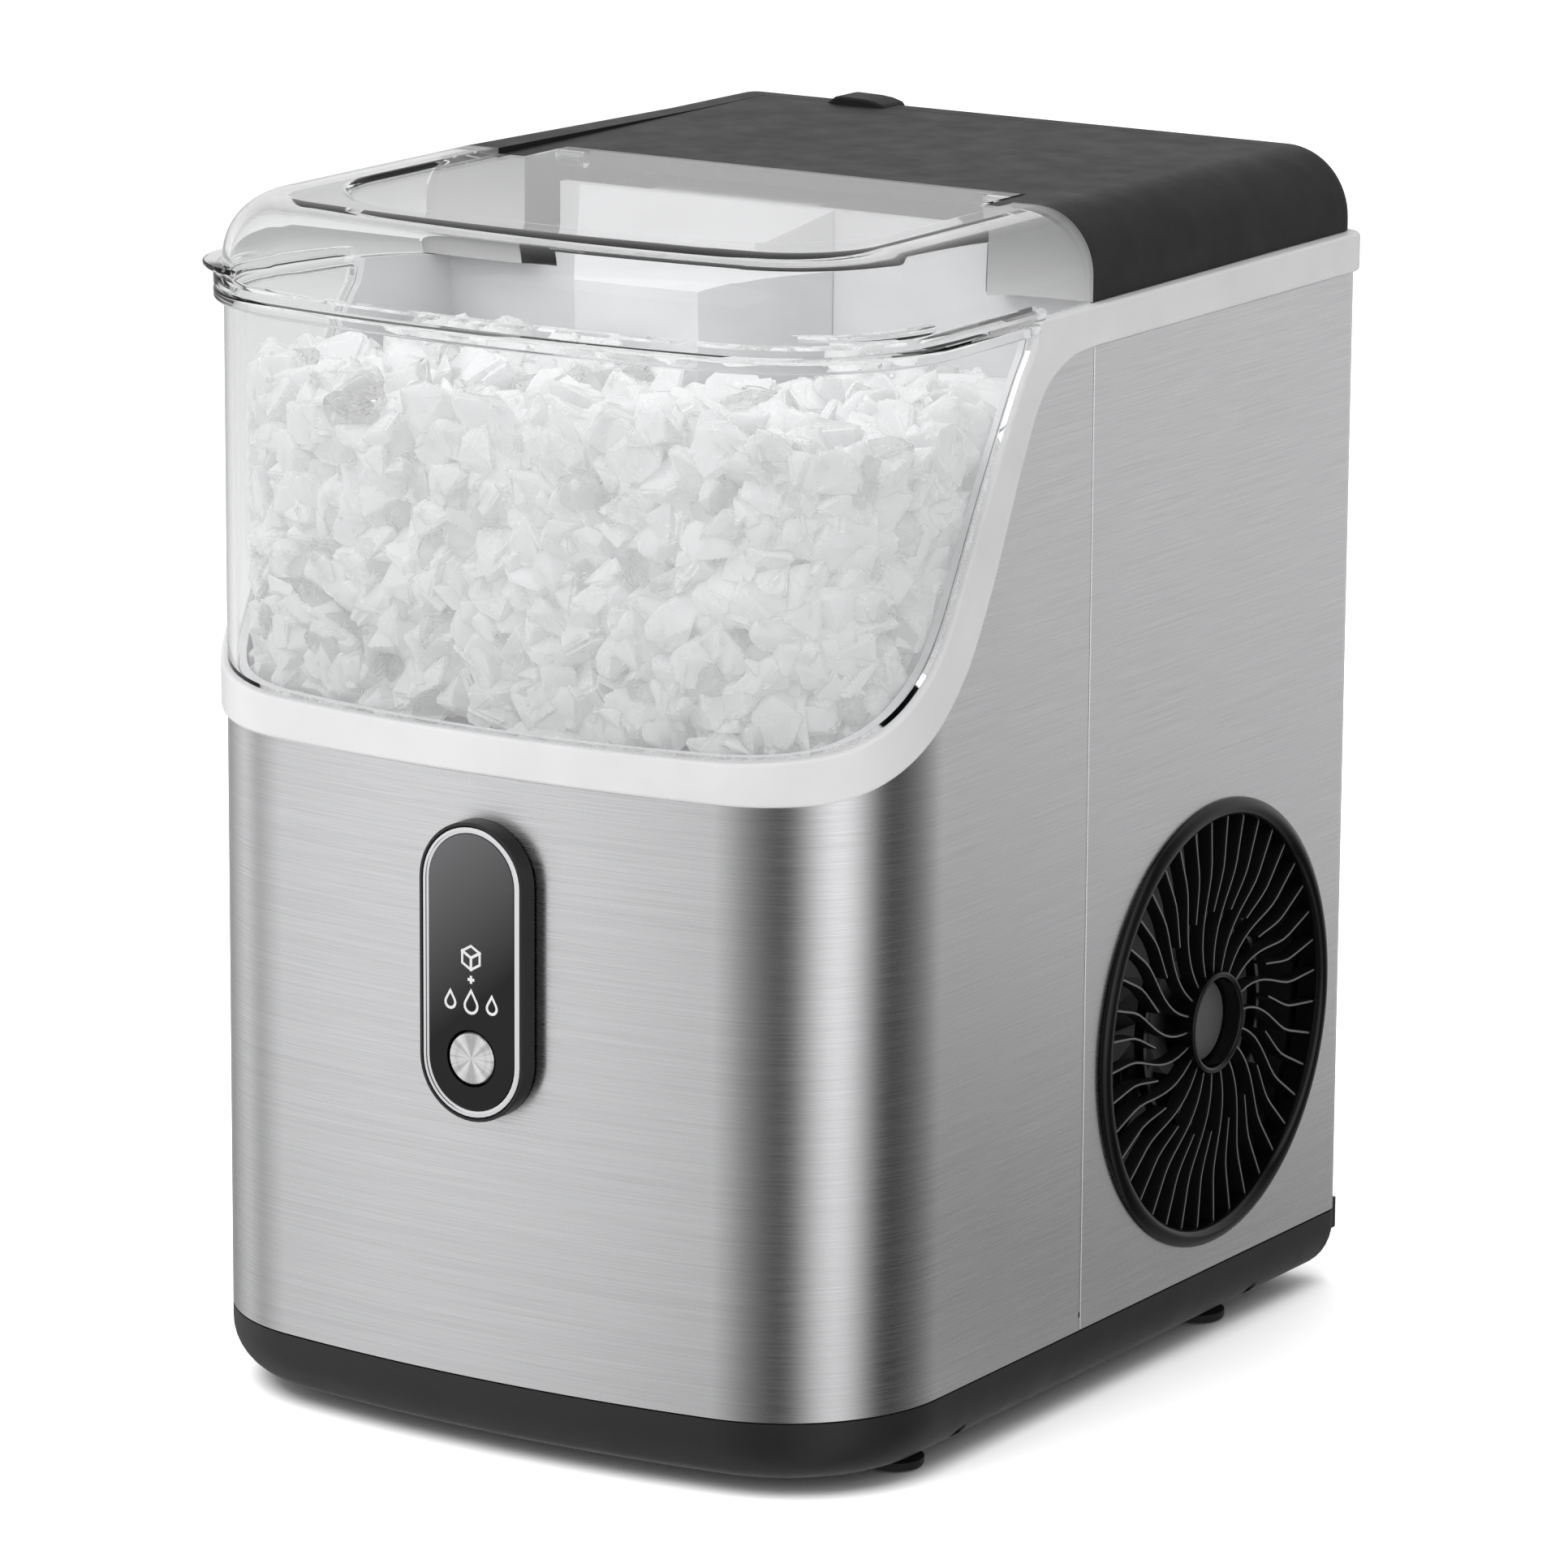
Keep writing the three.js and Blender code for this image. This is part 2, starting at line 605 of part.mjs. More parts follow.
function makeLid() {
  const wide = HALF_WIDTH + 10;
  const rimRear = TRIM_TOP_FRONT_Y - 2 * GAP;
  const outer = lidDome(0, LID_TOP, LID_BOTTOM, TONGUE_REAR_Y);
  const inner = lidDome(LID_WALL, RECESS_FLOOR - LID_WALL, LID_BOTTOM - 1, TONGUE_REAR_Y + 5);
  const flange = prism(planShape(RIM_PROUD), LID_BOTTOM, LID_FLANGE_TOP).intersect(
    block(-wide, FAR_FRONT, 300, wide, rimRear, 320),
  );
  const lugs = [-1, 1].map((side) => {
    const [x0, x1] = side > 0 ? [67, TONGUE_HALF_WIDTH] : [-TONGUE_HALF_WIDTH, -67];
    return block(x0, HINGE_Y - 3, HINGE_Z - 3.2, x1, HINGE_Y + 3, RECESS_FLOOR - 1);
  });
  const besideTongue = [
    block(TONGUE_HALF_WIDTH, JOINT_Y, 300, wide, 40, 345),
    block(-wide, JOINT_Y, 300, -TONGUE_HALF_WIDTH, 40, 345),
  ];
  const recess = prism(
    planShape(0, RECESS_HALF_WIDTH, 40, RECESS_FRONT_Y),
    RECESS_FLOOR,
    LID_TOP + 1,
  );
  const pinHole = rod(HINGE_PIN_RADIUS + 0.1, -90, 90, "x", [0, HINGE_Y, HINGE_Z], 12);
  const betweenLugs = block(-66.9, HINGE_Y - 4, HINGE_Z - 4, 66.9, HINGE_Y + 4, RECESS_FLOOR - LID_WALL);
  const shell = cut(join(outer, flange, fingerTab(-1), fingerTab(1)), inner);
  const pinHoles = cut(pinHole, block(-66, 0, 300, 66, 20, 345));
  const lid = cut(join(shell, ...lugs), ...besideTongue, recess, pinHoles, betweenLugs);
  place("lid", lid, FINISH.clearPlastic);
  for (const [side, x] of [["left", -79], ["right", 67]]) {
    const pin = rod(HINGE_PIN_RADIUS, 0, 12, "x", [0, 0, 0], 12);
    place(`lid_hinge_pin_${side}`, pin, FINISH.steel, x, HINGE_Y, HINGE_Z);
  }
}

// The cover is a hull through cross-sections from its front ears to its rear edge.
function coverHull(wall, stations, bottom) {
  const points = [];
  for (const [y, halfWidth, top, edge] of stations) {
    const radius = edge - wall;
    const x = halfWidth - wall;
    for (const side of [-1, 1]) {
      points.push([side * x, y, bottom]);
      for (const t of quarterTurn) {
        const z = top - wall - radius + radius * Math.sin(t);
        points.push([side * (x - radius * (1 - Math.cos(t))), y, z]);
      }
    }
  }
  return hull(points);
}

function makeCover() {
  const frontY = JOINT_Y + JOINT_GAP;
  const notchHalf = TONGUE_HALF_WIDTH + 0.5;
  const outer = coverHull(
    0,
    [
      [frontY, LID_HALF_WIDTH, LID_TOP, LID_EDGE_RADIUS],
      [95, COVER_HALF_WIDTH, COVER_TOP + 0.1, COVER_EDGE_RADIUS],
      [REAR_Y - 4, COVER_HALF_WIDTH, COVER_TOP, COVER_EDGE_RADIUS],
      [REAR_Y, COVER_HALF_WIDTH - 3, COVER_TOP - 3, COVER_EDGE_RADIUS - 2],
    ],
    LID_BOTTOM,
  );
  const inner = coverHull(
    COVER_WALL,
    [
      [frontY + COVER_WALL, LID_HALF_WIDTH, COVER_TOP, LID_EDGE_RADIUS],
      [REAR_Y - 4, COVER_HALF_WIDTH, COVER_TOP, COVER_EDGE_RADIUS],
      [REAR_Y - COVER_WALL, COVER_HALF_WIDTH - 3, COVER_TOP - 3, COVER_EDGE_RADIUS - 2],
    ],
    LID_BOTTOM - 1,
  );
  const notch = block(-notchHalf, -20, 300, notchHalf, COVER_FRONT_Y, 345);
  const behindNotch = block(
    -notchHalf - COVER_WALL,
    -20,
    300,
    notchHalf + COVER_WALL,
    COVER_FRONT_Y + COVER_WALL,
    345,
  );
  const recess = block(-RECESS_HALF_WIDTH, -20, COVER_TOP, RECESS_HALF_WIDTH, 130, 345);
  const outlet = block(-70, 10, 300, 70, 20, 330.5);
  const pinHole = rod(HINGE_PIN_RADIUS + 0.1, -82, 82, "x", [0, HINGE_Y, HINGE_Z], 12);
  const liftTab = hull(
    [129, 139.5].flatMap((y) => [
      [-67, y, 334],
      [-58, y, 339.6],
      [-48, y, 339.4],
      [-42, y, 338.6],
      [-39, y, 334],
    ]),
  );
  const shell = cut(outer, notch, cut(inner, behindNotch), recess, outlet, pinHole);
  place("top_cover", join(shell, liftTab), FINISH.blackPlastic);
}

// ---- control panel ------------------------------------------------------------------------
function makeControlPanel() {
  const bezelBack = -141.3;
  const pocketY = PANEL_FACE_Y + 1.6;
  const wellBottom = -141.9;
  const buttonAxis = [0, 0, BUTTON_Z];
  const housing = cut(
    join(
      frontPrism(pill(PANEL_RADIUS), PANEL_FACE_Y, bezelBack),
      frontPrism(pill(PANEL_RADIUS - 2.8), bezelBack, -132),
    ),
    frontPrism(pill(PANEL_RADIUS - 1), PANEL_FACE_Y - 1, pocketY),
    rod(BUTTON_WELL_RADIUS, -150, wellBottom, "y", buttonAxis),
    rod(3.4, -150, -120, "y", buttonAxis, 16),
    block(-4.5, -137.2, BUTTON_Z - 4.5, 4.5, -130, BUTTON_Z + 4.5),
  );
  place("control_panel_housing", housing, FINISH.blackPlastic);

  const ringFace = cut(
    frontPrism(pill(PANEL_RADIUS - 1.2), PANEL_FACE_Y + 0.1, pocketY - GAP),
    frontPrism(pill(PANEL_RADIUS - 3.05), PANEL_FACE_Y - 1, pocketY),
  );
  place("panel_ring", ringFace, FINISH.chrome);

  const face = cut(
    frontPrism(pill(PANEL_RADIUS - 3.25), PANEL_FACE_Y + 0.2, pocketY - GAP),
    rod(BUTTON_WELL_RADIUS, -150, -140, "y", buttonAxis),
  );
  place("panel_face", face, FINISH.glossBlack);

  const button = [
    [0, PANEL_FACE_Y],
    [BUTTON_RADIUS - 0.5, PANEL_FACE_Y],
    [BUTTON_RADIUS, PANEL_FACE_Y + 0.5],
    [BUTTON_RADIUS, -143.5],
    [3, -143.5],
    [3, -138],
    [0, -138],
  ];
  place("power_button", turned(button, "y"), FINISH.steel, 0, 0, BUTTON_Z);
  place("button_switch", block(-4, -136.5, -4, 4, -130.3, 4), FINISH.glossBlack, 0, 0, BUTTON_Z);
  place("button_board", block(-12, -130, 95, 12, -128.4, 150), FINISH.circuit);
}

// ---- fan, grille and condenser ------------------------------------------------------------
const RIB_THICKNESS = 1.2;
const RIB_SWEEP = 15.5; // degrees that a full rib turns on its way out
const SUPPORT_RADIUS = 32.5;

// The angle of a full rib at a given radius: an S from the hub to the rim.
function ribAngle(radius) {
  const s = Math.min(Math.max((radius - 17) / 30, 0), 1);
  return THREE.MathUtils.degToRad(-RIB_SWEEP * s * s * (3 - 2 * s));
}

// A rib's outline in (y, z) round the grille's centre, from an inner to an outer radius.
function ribOutline(from, to, steps, angleAt) {
  const sides = [-1, 1].map((side) =>
    Array.from({ length: steps + 1 }, (_, i) => {
      const radius = from + ((to - from) * i) / steps;
      const angle = angleAt(radius) + (side * RIB_THICKNESS) / 2 / radius;
      return [radius * Math.cos(angle), radius * Math.sin(angle)];
    }),
  );
  return polygon([...sides[0], ...sides[1].reverse()]);
}

function makeGrille() {
  const rim = turned(
    [
      [GRILLE_MOUTH_RADIUS, 107],
      [GRILLE_HOLE_RADIUS - GAP, 107],
      [GRILLE_HOLE_RADIUS - GAP, HALF_WIDTH + GAP],
      [GRILLE_RADIUS, HALF_WIDTH + GAP],
      [GRILLE_RADIUS - 1, 114.6],
      [GRILLE_MOUTH_RADIUS + 1.5, 115],
      [GRILLE_MOUTH_RADIUS, 114.4],
      [GRILLE_MOUTH_RADIUS, 107],
    ],
    "x",
    [0, 0, 0],
    48,
  );
  const hub = turned(
    [
      [0, 105],
      [HUB_RADIUS, 105],
      [HUB_RADIUS, 113.8],
      [HUB_RADIUS - 0.6, 114.3],
      [HUB_RADIUS - 2.4, 114.3],
      [HUB_RADIUS - 2.6, 107],
      [0, 107],
    ],
    "x",
  );
  const support = collar(SUPPORT_RADIUS - 1, SUPPORT_RADIUS + 1, 105.5, 109, "x", [0, 0, 0], 32);
  const ribs = [];
  for (let i = 0; i < RIB_COUNT; i += 1) {
    const turn = (2 * Math.PI * i) / RIB_COUNT;
    const full = (r) => turn + ribAngle(r);
    const short = (r) => full(r) + Math.PI / RIB_COUNT;
    ribs.push(sidePrism(ribOutline(HUB_RADIUS - 1, GRILLE_MOUTH_RADIUS + 0.6, 4, full), 108, 112.2));
    ribs.push(
      sidePrism(ribOutline(SUPPORT_RADIUS, GRILLE_MOUTH_RADIUS + 0.6, 3, short), 108, 112.2),
    );
  }
  place("fan_grille", join(rim, hub, support, ...ribs), FINISH.blackPlastic, 0, FAN_Y, FAN_Z);
  const plate = rod(HUB_RADIUS - 3, 107 + GAP, 109, "x");
  place("grille_centre_plate", plate, FINISH.greyPlastic, 0, FAN_Y, FAN_Z);
}

function makeFan() {
  const shroudOuter = 63;
  const shroudInner = 60;
  const mount = collar(FAN_MOTOR_RADIUS + GAP, FAN_MOTOR_RADIUS + 3, 80, 85, "x");
  const duct = collar(shroudInner, shroudOuter, 78, 104.5, "x", [0, 0, 0], 32);
  const struts = [0, 1, 2].map((i) => {
    const strut = new THREE.BoxGeometry(4, shroudInner - FAN_MOTOR_RADIUS, 5);
    strut.translate(82, (shroudInner + FAN_MOTOR_RADIUS) / 2 + 1, 0);
    strut.rotateX((2 * Math.PI * i) / 3);
    return solid(strut);
  });
  place("fan_shroud", join(duct, mount, ...struts), FINISH.blackPlastic, 0, FAN_Y, FAN_Z);

  const motor = cut(rod(FAN_MOTOR_RADIUS, 69, 87, "x"), rod(2.7, 78, 90, "x", [0, 0, 0], 16));
  place("fan_motor", motor, FINISH.galvanised, 0, FAN_Y, FAN_Z);

  const hub = join(rod(17, 88, 101, "x"), rod(2.4, 79, 90, "x", [0, 0, 0], 16));
  const bladeCount = 7;
  const blades = [];
  for (let i = 0; i < bladeCount; i += 1) {
    const section = (radius, chord, pitch) => {
      const a = THREE.MathUtils.degToRad(pitch);
      return [[-1, -1], [-1, 1], [1, -1], [1, 1]].map(([c, t]) => [
        94.5 + (c * chord * Math.sin(a)) / 2 + (t * 1.1 * Math.cos(a)) / 2,
        (c * chord * Math.cos(a)) / 2 - (t * 1.1 * Math.sin(a)) / 2,
        radius,
      ]);
    };
    const turn = new THREE.Matrix4().makeRotationX((2 * Math.PI * i) / bladeCount);
    const corners = [...section(15, 13, 42), ...section(57, 34, 18)].map((p) =>
      new THREE.Vector3(...p).applyMatrix4(turn).toArray(),
    );
    blades.push(hull(corners));
  }
  place("fan_rotor", join(hub, ...blades), FINISH.greyPlastic, 0, FAN_Y, FAN_Z);
}

function makeCondenser() {
  const pitch = 5;
  const fin = 1.4;
  const back = 46;
  const web = 49;
  const front = 64;
  const firstY = 9;
  const finCount = 22;
  const points = [[back, firstY]];
  for (let i = 0; i < finCount; i += 1) {
    const y = firstY + i * pitch;
    points.push([front, y], [front, y + fin], [web, y + fin]);
    if (i < finCount - 1) points.push([web, y + pitch]);
  }
  points.push([back, firstY + (finCount - 1) * pitch + fin]);
  place("condenser", prism(polygon(points), 32, 160), FINISH.aluminium);
}

// ---- ice making works ---------------------------------------------------------------------
function makeEvaporator() {
  const bore = SHAFT_RADIUS + 0.4;
  const barrelTop = 300;
  const barrel = [
    [bore, 154],
    [BARREL_RADIUS, 154],
    [BARREL_RADIUS, barrelTop],
    [20, barrelTop],
    [20, 158],
    [bore, 158],
    [bore, 154],
  ];
  place("evaporator_barrel", turned(barrel), FINISH.steel, AUGER_X, AUGER_Y);
  const jacket = collar(BARREL_RADIUS + GAP, 34, 174, 292);
  place("barrel_insulation", jacket, FINISH.whitePlastic, AUGER_X, AUGER_Y);
  const slots = [0, 1, 2, 3, 4, 5].map((i) => {
    const a = (Math.PI * i) / 3;
    return rod(4.5, 290, 320, "z", [15.5 * Math.cos(a), 15.5 * Math.sin(a), 0], 8);
  });
  const head = cut(collar(bore, BARREL_RADIUS, barrelTop + GAP, 308), ...slots);
  place("extruder_head", head, FINISH.steel, AUGER_X, AUGER_Y);
  const duct = cut(block(-48, LINER_BACK_Y + GAP, 309, 8, 72, 326), block(-46, 0, 308, 6, 70, 324));
  place("ice_duct", duct, FINISH.whitePlastic);
}

function makeAuger() {
  const turns = 5;
  const helixRadius = 15;
  const rise = 24;
  const start = 168;
  const steps = turns * 9;
  const helix = Array.from({ length: steps + 1 }, (_, i) => {
    const a = (2 * Math.PI * turns * i) / steps;
    return [helixRadius * Math.cos(a), helixRadius * Math.sin(a), start + (rise * i * turns) / steps];
  });
  const flightRadius = 4;
  const flight = pipe(helix, flightRadius, steps, 5);
  const core = [
    [0, 128],
    [SHAFT_RADIUS, 128],
    [SHAFT_RADIUS, 161],
    [12, 161],
    [12, 297],
    [SHAFT_RADIUS, 297],
    [SHAFT_RADIUS, 314],
    [0, 314],
  ];
  const shaft = turned(core, "z", [0, 0, 0], 16);
  place("auger", join(shaft, flight), FINISH.steel, AUGER_X, AUGER_Y);
}

function gearShape(teeth, phase, bore) {
  const pitchRadius = (GEAR_MODULE * teeth) / 2;
  const root = pitchRadius - 1.3 * GEAR_MODULE;
  const tip = pitchRadius + 0.9 * GEAR_MODULE;
  const pitchAngle = (2 * Math.PI) / teeth;
  const points = [];
  for (let i = 0; i < teeth; i += 1) {
    const corners = [[root, -0.33], [tip, -0.12], [tip, 0.12], [root, 0.33]];
    for (const [radius, share] of corners) {
      const a = phase + (i + share) * pitchAngle;
      points.push([radius * Math.cos(a), radius * Math.sin(a)]);
    }
  }
  const shape = polygon(points);
  if (bore > 0) {
    const hole = new THREE.Path();
    hole.absarc(0, 0, bore, 0, 2 * Math.PI, true);
    shape.holes.push(hole);
  }
  return shape;
}

function makeGearbox() {
  const pinionY = AUGER_Y - GEAR_CENTRES;
  const gearTop = GEAR_Z + GEAR_THICKNESS;
  const gear = prism(gearShape(GEAR_TEETH, 0, SHAFT_RADIUS + GAP), GEAR_Z, gearTop, 12);
  place("auger_gear", gear, FINISH.galvanised, AUGER_X, AUGER_Y);
  const pinion = join(
    prism(gearShape(PINION_TEETH, Math.PI / PINION_TEETH, 0), GEAR_Z, gearTop),
    rod(3, 124.6, GEAR_Z + 1, "z", [0, 0, 0], 16),
  );
  place("motor_pinion", pinion, FINISH.galvanised, AUGER_X, pinionY);

  const outline = (gearRoom, pinionRoom, z0, z1) => {
    const points = [];
    for (const [y, radius] of [[0, gearRoom], [-GEAR_CENTRES, pinionRoom]]) {
      for (let i = 0; i < 32; i += 1) {
        const a = (2 * Math.PI * i) / 32;
        for (const z of [z0, z1]) points.push([radius * Math.cos(a), y + radius * Math.sin(a), z]);
      }
    }
    return hull(points);
  };
  const housing = cut(
    outline(43, 20, 124, 150),
    outline(40, 17, 127, 147),
    rod(SHAFT_RADIUS + 0.5, 140, 160),
    rod(3.6, 120, 130, "z", [0, -GEAR_CENTRES, 0], 16),
  );
  place("gearbox_housing", housing, FINISH.aluminium, AUGER_X, AUGER_Y);
  const motor = [[0, 62], [20, 62], [22, 64], [22, 123 + 2 * GAP], [0, 123 + 2 * GAP]];
  place("gear_motor", turned(motor), FINISH.galvanised, AUGER_X, pinionY);
}

function makeCompressor() {
  const profile = [
    [0, 9],
    [43, 9],
    [43, 12],
    [38, 12],
    [40, 20],
    [40, 100],
    [37, 108],
    [28, 115],
    [12, COMPRESSOR_TOP],
    [0, COMPRESSOR_TOP],
  ];
  place("compressor", turned(profile), FINISH.castMetal, COMPRESSOR_X, COMPRESSOR_Y);
  const discharge = [
    [COMPRESSOR_X, COMPRESSOR_Y, COMPRESSOR_TOP + 1],
    [COMPRESSOR_X, COMPRESSOR_Y + 4, 150],
    [-40, 112, 168],
    [10, 116, 174],
    [50, 108, 172],
    [56, 92, 166],
    [56, 86, 161],
  ];
  place("discharge_pipe", pipe(discharge, 2.4, 22, 6), FINISH.copper);
  const suction = [
    [AUGER_X, AUGER_Y + 34.8, 282],
    [AUGER_X, 96, 284],
    [-50, 112, 262],
    [-84, 110, 200],
    [-86, 100, 150],
    [COMPRESSOR_X - 27, COMPRESSOR_Y + 4, 118],
  ];
  place("suction_pipe", pipe(suction, 3, 22, 6), FINISH.copper);
}

function makeWaterSystem() {
  const wall = 2.5;
  const tank = cut(
    block(-90, -122, 70, 90, -48, 190),
    block(-90 + wall, -122 + wall, 70 + wall, 90 - wall, -48 - wall, 191),
  );
  place("water_reservoir", tank, FINISH.whitePlastic);
  const pump = [[0, 30], [16, 30], [16, 58], [10, 60], [10, 70], [4, 71], [4, 76], [0, 76]];
  place("water_pump", turned(pump), FINISH.blackPlastic, 70, -20);
  const tube = [
    [70, -20, 77],
    [70, -8, 110],
    [44, -2, 142],
    [30, 34, 160],
    [10, AUGER_Y, 165],
  ];
  place("water_tube", pipe(tube, 3, 16, 6), FINISH.clearPlastic);
  const spoutEnd = 143.3;
  const spout = join(
    collar(SPOUT_BORE, SPOUT_RADIUS, 119, spoutEnd, "y"),
    collar(SPOUT_BORE, SPOUT_RADIUS + 3, REAR_Y + GAP, spoutEnd, "y"),
  );
  place("drain_spout", spout, FINISH.blackPlastic, SPOUT_X, 0, SPOUT_Z);
  const plugHead = spoutEnd + GAP;
  const plug = [
    [0, 130],
    [SPOUT_BORE - 0.4, 130],
    [SPOUT_BORE - 0.4, plugHead],
    [9.5, plugHead],
    [9.5, plugHead + 2],
    [8.2, -PANEL_FACE_Y],
    [0, -PANEL_FACE_Y],
  ];
  place("drain_plug", turned(plug, "y"), FINISH.rubber, SPOUT_X, 0, SPOUT_Z);
}

function makeElectrics() {
  const board = join(
    block(30, -30, 90, 90, -28.4, 160),
    block(36, -28.5, 100, 58, -12, 124),
    block(64, -28.5, 132, 76, -20, 144),
    block(40, -28.5, 138, 56, -18, 152),
  );
  place("control_board", board, FINISH.circuit);
  const inlet = cut(
    join(
      block(-14, 124, -10, 14, REAR_Y + 1, 10),
      block(-23, REAR_Y + GAP, -13, 23, 143.6, 13),
    ),
    block(-12, 129, -8, 12, 150, 8),
  );
  const blades = [[-7, 2], [0, -3], [7, 2]].map(([x, z]) =>
    block(x - 1, 128, z - 2, x + 1, 139, z + 2),
  );
  place("power_inlet", join(inlet, ...blades), FINISH.blackPlastic, INLET_X, 0, INLET_Z);
}

makeBase();
makeFeet();
makeCasing();
makeRearPanel();
makeTrim();
makeWindow();
makeLiner();
makeChute();
makeIce();
makeLid();
makeCover();
makeControlPanel();
makeGrille();
makeFan();
makeCondenser();
makeEvaporator();
makeAuger();
makeGearbox();
makeCompressor();
makeWaterSystem();
makeElectrics();

export default iceMaker;
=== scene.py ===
"""The looks of the countertop ice maker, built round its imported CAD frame.

Lengths below are millimetres in the row frame: +X to the right, front towards -Y, +Z up.
"""

import json
import math

import bmesh
import bpy
import numpy as np
from mathutils import Matrix, Vector


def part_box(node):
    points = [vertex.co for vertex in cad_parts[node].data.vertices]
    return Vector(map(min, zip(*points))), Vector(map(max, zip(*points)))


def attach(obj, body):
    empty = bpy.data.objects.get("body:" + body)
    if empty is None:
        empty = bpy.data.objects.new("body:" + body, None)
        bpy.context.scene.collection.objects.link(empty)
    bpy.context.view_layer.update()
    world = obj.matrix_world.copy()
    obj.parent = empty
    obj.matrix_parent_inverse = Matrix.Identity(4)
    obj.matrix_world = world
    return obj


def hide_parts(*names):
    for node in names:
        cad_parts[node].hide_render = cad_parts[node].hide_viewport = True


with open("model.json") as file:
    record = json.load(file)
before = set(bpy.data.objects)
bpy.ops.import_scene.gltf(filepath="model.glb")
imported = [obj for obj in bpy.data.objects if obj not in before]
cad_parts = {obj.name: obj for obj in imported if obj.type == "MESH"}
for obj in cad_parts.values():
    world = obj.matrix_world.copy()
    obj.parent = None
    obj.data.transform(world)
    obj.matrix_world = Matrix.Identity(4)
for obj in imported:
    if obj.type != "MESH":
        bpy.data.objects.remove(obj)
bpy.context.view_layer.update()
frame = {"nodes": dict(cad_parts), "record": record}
rng = np.random.default_rng(11)

MM = 0.001


def node_box(node):
    low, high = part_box(node)
    return np.array(low) / MM, np.array(high) / MM


# ---- dimensions shared with the frame ----
HALF_WIDTH = node_box("side_panel_left")[0][0] * -1
REAR_Y = node_box("side_panel_left")[1][1]
BOW_APEX_Y = node_box("front_wrap")[0][1]
CASING_BOTTOM = node_box("front_wrap")[0][2]
CASING_TOP = node_box("front_wrap")[1][2]
BASE_BOTTOM = node_box("base_tray")[0][2]
TRIM_TOP = node_box("trim_band")[1][2]
ICE_LOW, ICE_HIGH = node_box("ice_pile")
RIM_TOP = node_box("ice_window")[1][2]
LID_BOTTOM = node_box("lid")[0][2]
LID_TOP = node_box("lid")[1][2]
TONGUE_REAR_Y = node_box("lid")[1][1]
COVER_FRONT_Y = node_box("top_cover")[0][1]
_, HINGE_Y, HINGE_Z = sum(node_box("lid_hinge_pin_left")) / 2
PANEL_LOW, PANEL_HIGH = node_box("control_panel_housing")
GRILLE_LOW, GRILLE_HIGH = node_box("fan_grille")
BUTTON_LOW, BUTTON_HIGH = node_box("power_button")

GAP = 0.3
BOW_RADIUS = 495.3
CORNER_RADIUS = 48.7
REAR_RADIUS = 6
BASE_EDGE_RADIUS = 15
STEEL = 1.2
SEAM_Y = -10.3
TRIM_PROUD = 1.8
TRIM_DEPTH = 3.1
TRIM_TOP_FRONT_Y = -42
WINDOW_WALL = 2.5
RIM_PROUD = 2.9
RIM_REAR_Y = -44
LINER_OFFSET = -3.4
LINER_WALL = 2
LID_HALF_WIDTH = 111
LID_CORNER = 44
LID_EDGE = 18
LID_WALL = 2.2
RECESS_FLOOR = 337.6
RECESS_HALF_WIDTH = 85
RECESS_CORNER = 40
RECESS_FRONT_Y = -112
JOINT_Y = -10
TONGUE_HALF_WIDTH = 75.5

# The casing's top edge and the window's edge seen from the side, as (y, z).
CASING_EDGE = [(-12, 302.3), (-26, 300.6), (-39.5, 292.8), (-50, 275.2), (-57.5, 259.5), (-66, 242),
               (-78.6, 221.9), (-96.1, 206.6), (-115.1, 196.3), (-132.7, 193.1), (-160, 193.1)]
WINDOW_EDGE = [(-42, 313.5), (-44.6, 305.5), (-51.3, 296.2), (-67.2, 270.2), (-81.3, 245.1), (-88, 234),
               (-97.5, 223), (-108, 214.2), (-119, 208.6), (-130, 206), (-141, 204.3), (-160, 204.3)]


def smooth_curve(points, steps=12):
    """A Catmull-Rom curve through the points, as a dense polyline."""
    p = np.array([points[0], *points, points[-1]], float)
    t = np.linspace(0, 1, steps, endpoint=False)[:, None]
    out = []
    for a, b, c, d in zip(p[:-3], p[1:-2], p[2:-1], p[3:]):
        m, n = (c - a) / 2, (d - b) / 2
        out.append((2 * b - 2 * c + m + n) * t**3 + (3 * c - 3 * b - 2 * m - n) * t**2 + m * t + b)
    return np.vstack([*out, p[-1:]])


def edge_height(edge):
    """z as a function of y along a side edge."""
    curve = smooth_curve(edge)
    curve = curve[np.argsort(curve[:, 0])]
    return lambda y: np.interp(y, curve[:, 0], curve[:, 1])


casing_z = edge_height(CASING_EDGE)
window_z = edge_height(WINDOW_EDGE)


# ---- meshes ----
WELD = 1e-6  # points nearer than this, in metres, are one point


def make_object(name, points, faces):
    mesh = bpy.data.meshes.new(name)
    mesh.from_pydata((np.asarray(points, float) * MM).tolist(), [], [list(map(int, f)) for f in faces])
    obj = bpy.data.objects.new(name, mesh)
    bpy.context.scene.collection.objects.link(obj)
    clean(obj)
    return obj


def clean(obj):
    """Welds coincident points and turns every face outwards."""
    b = bmesh.new()
    b.from_mesh(obj.data)
    bmesh.ops.remove_doubles(b, verts=b.verts, dist=WELD)
    bmesh.ops.dissolve_degenerate(b, edges=b.edges, dist=WELD)
    bmesh.ops.recalc_face_normals(b, faces=b.faces)
    b.to_mesh(obj.data)
    b.free()


def apply_modifiers(obj):
    evaluated = obj.evaluated_get(bpy.context.evaluated_depsgraph_get())
    mesh = bpy.data.meshes.new_from_object(evaluated)
    obj.modifiers.clear()
    obj.data = mesh


def boolean(target, tool, operation="DIFFERENCE"):
    modifier = target.modifiers.new("boolean", "BOOLEAN")
    modifier.operation = operation
    modifier.solver = "EXACT"
    modifier.object = tool
    apply_modifiers(target)
    bpy.data.objects.remove(tool)


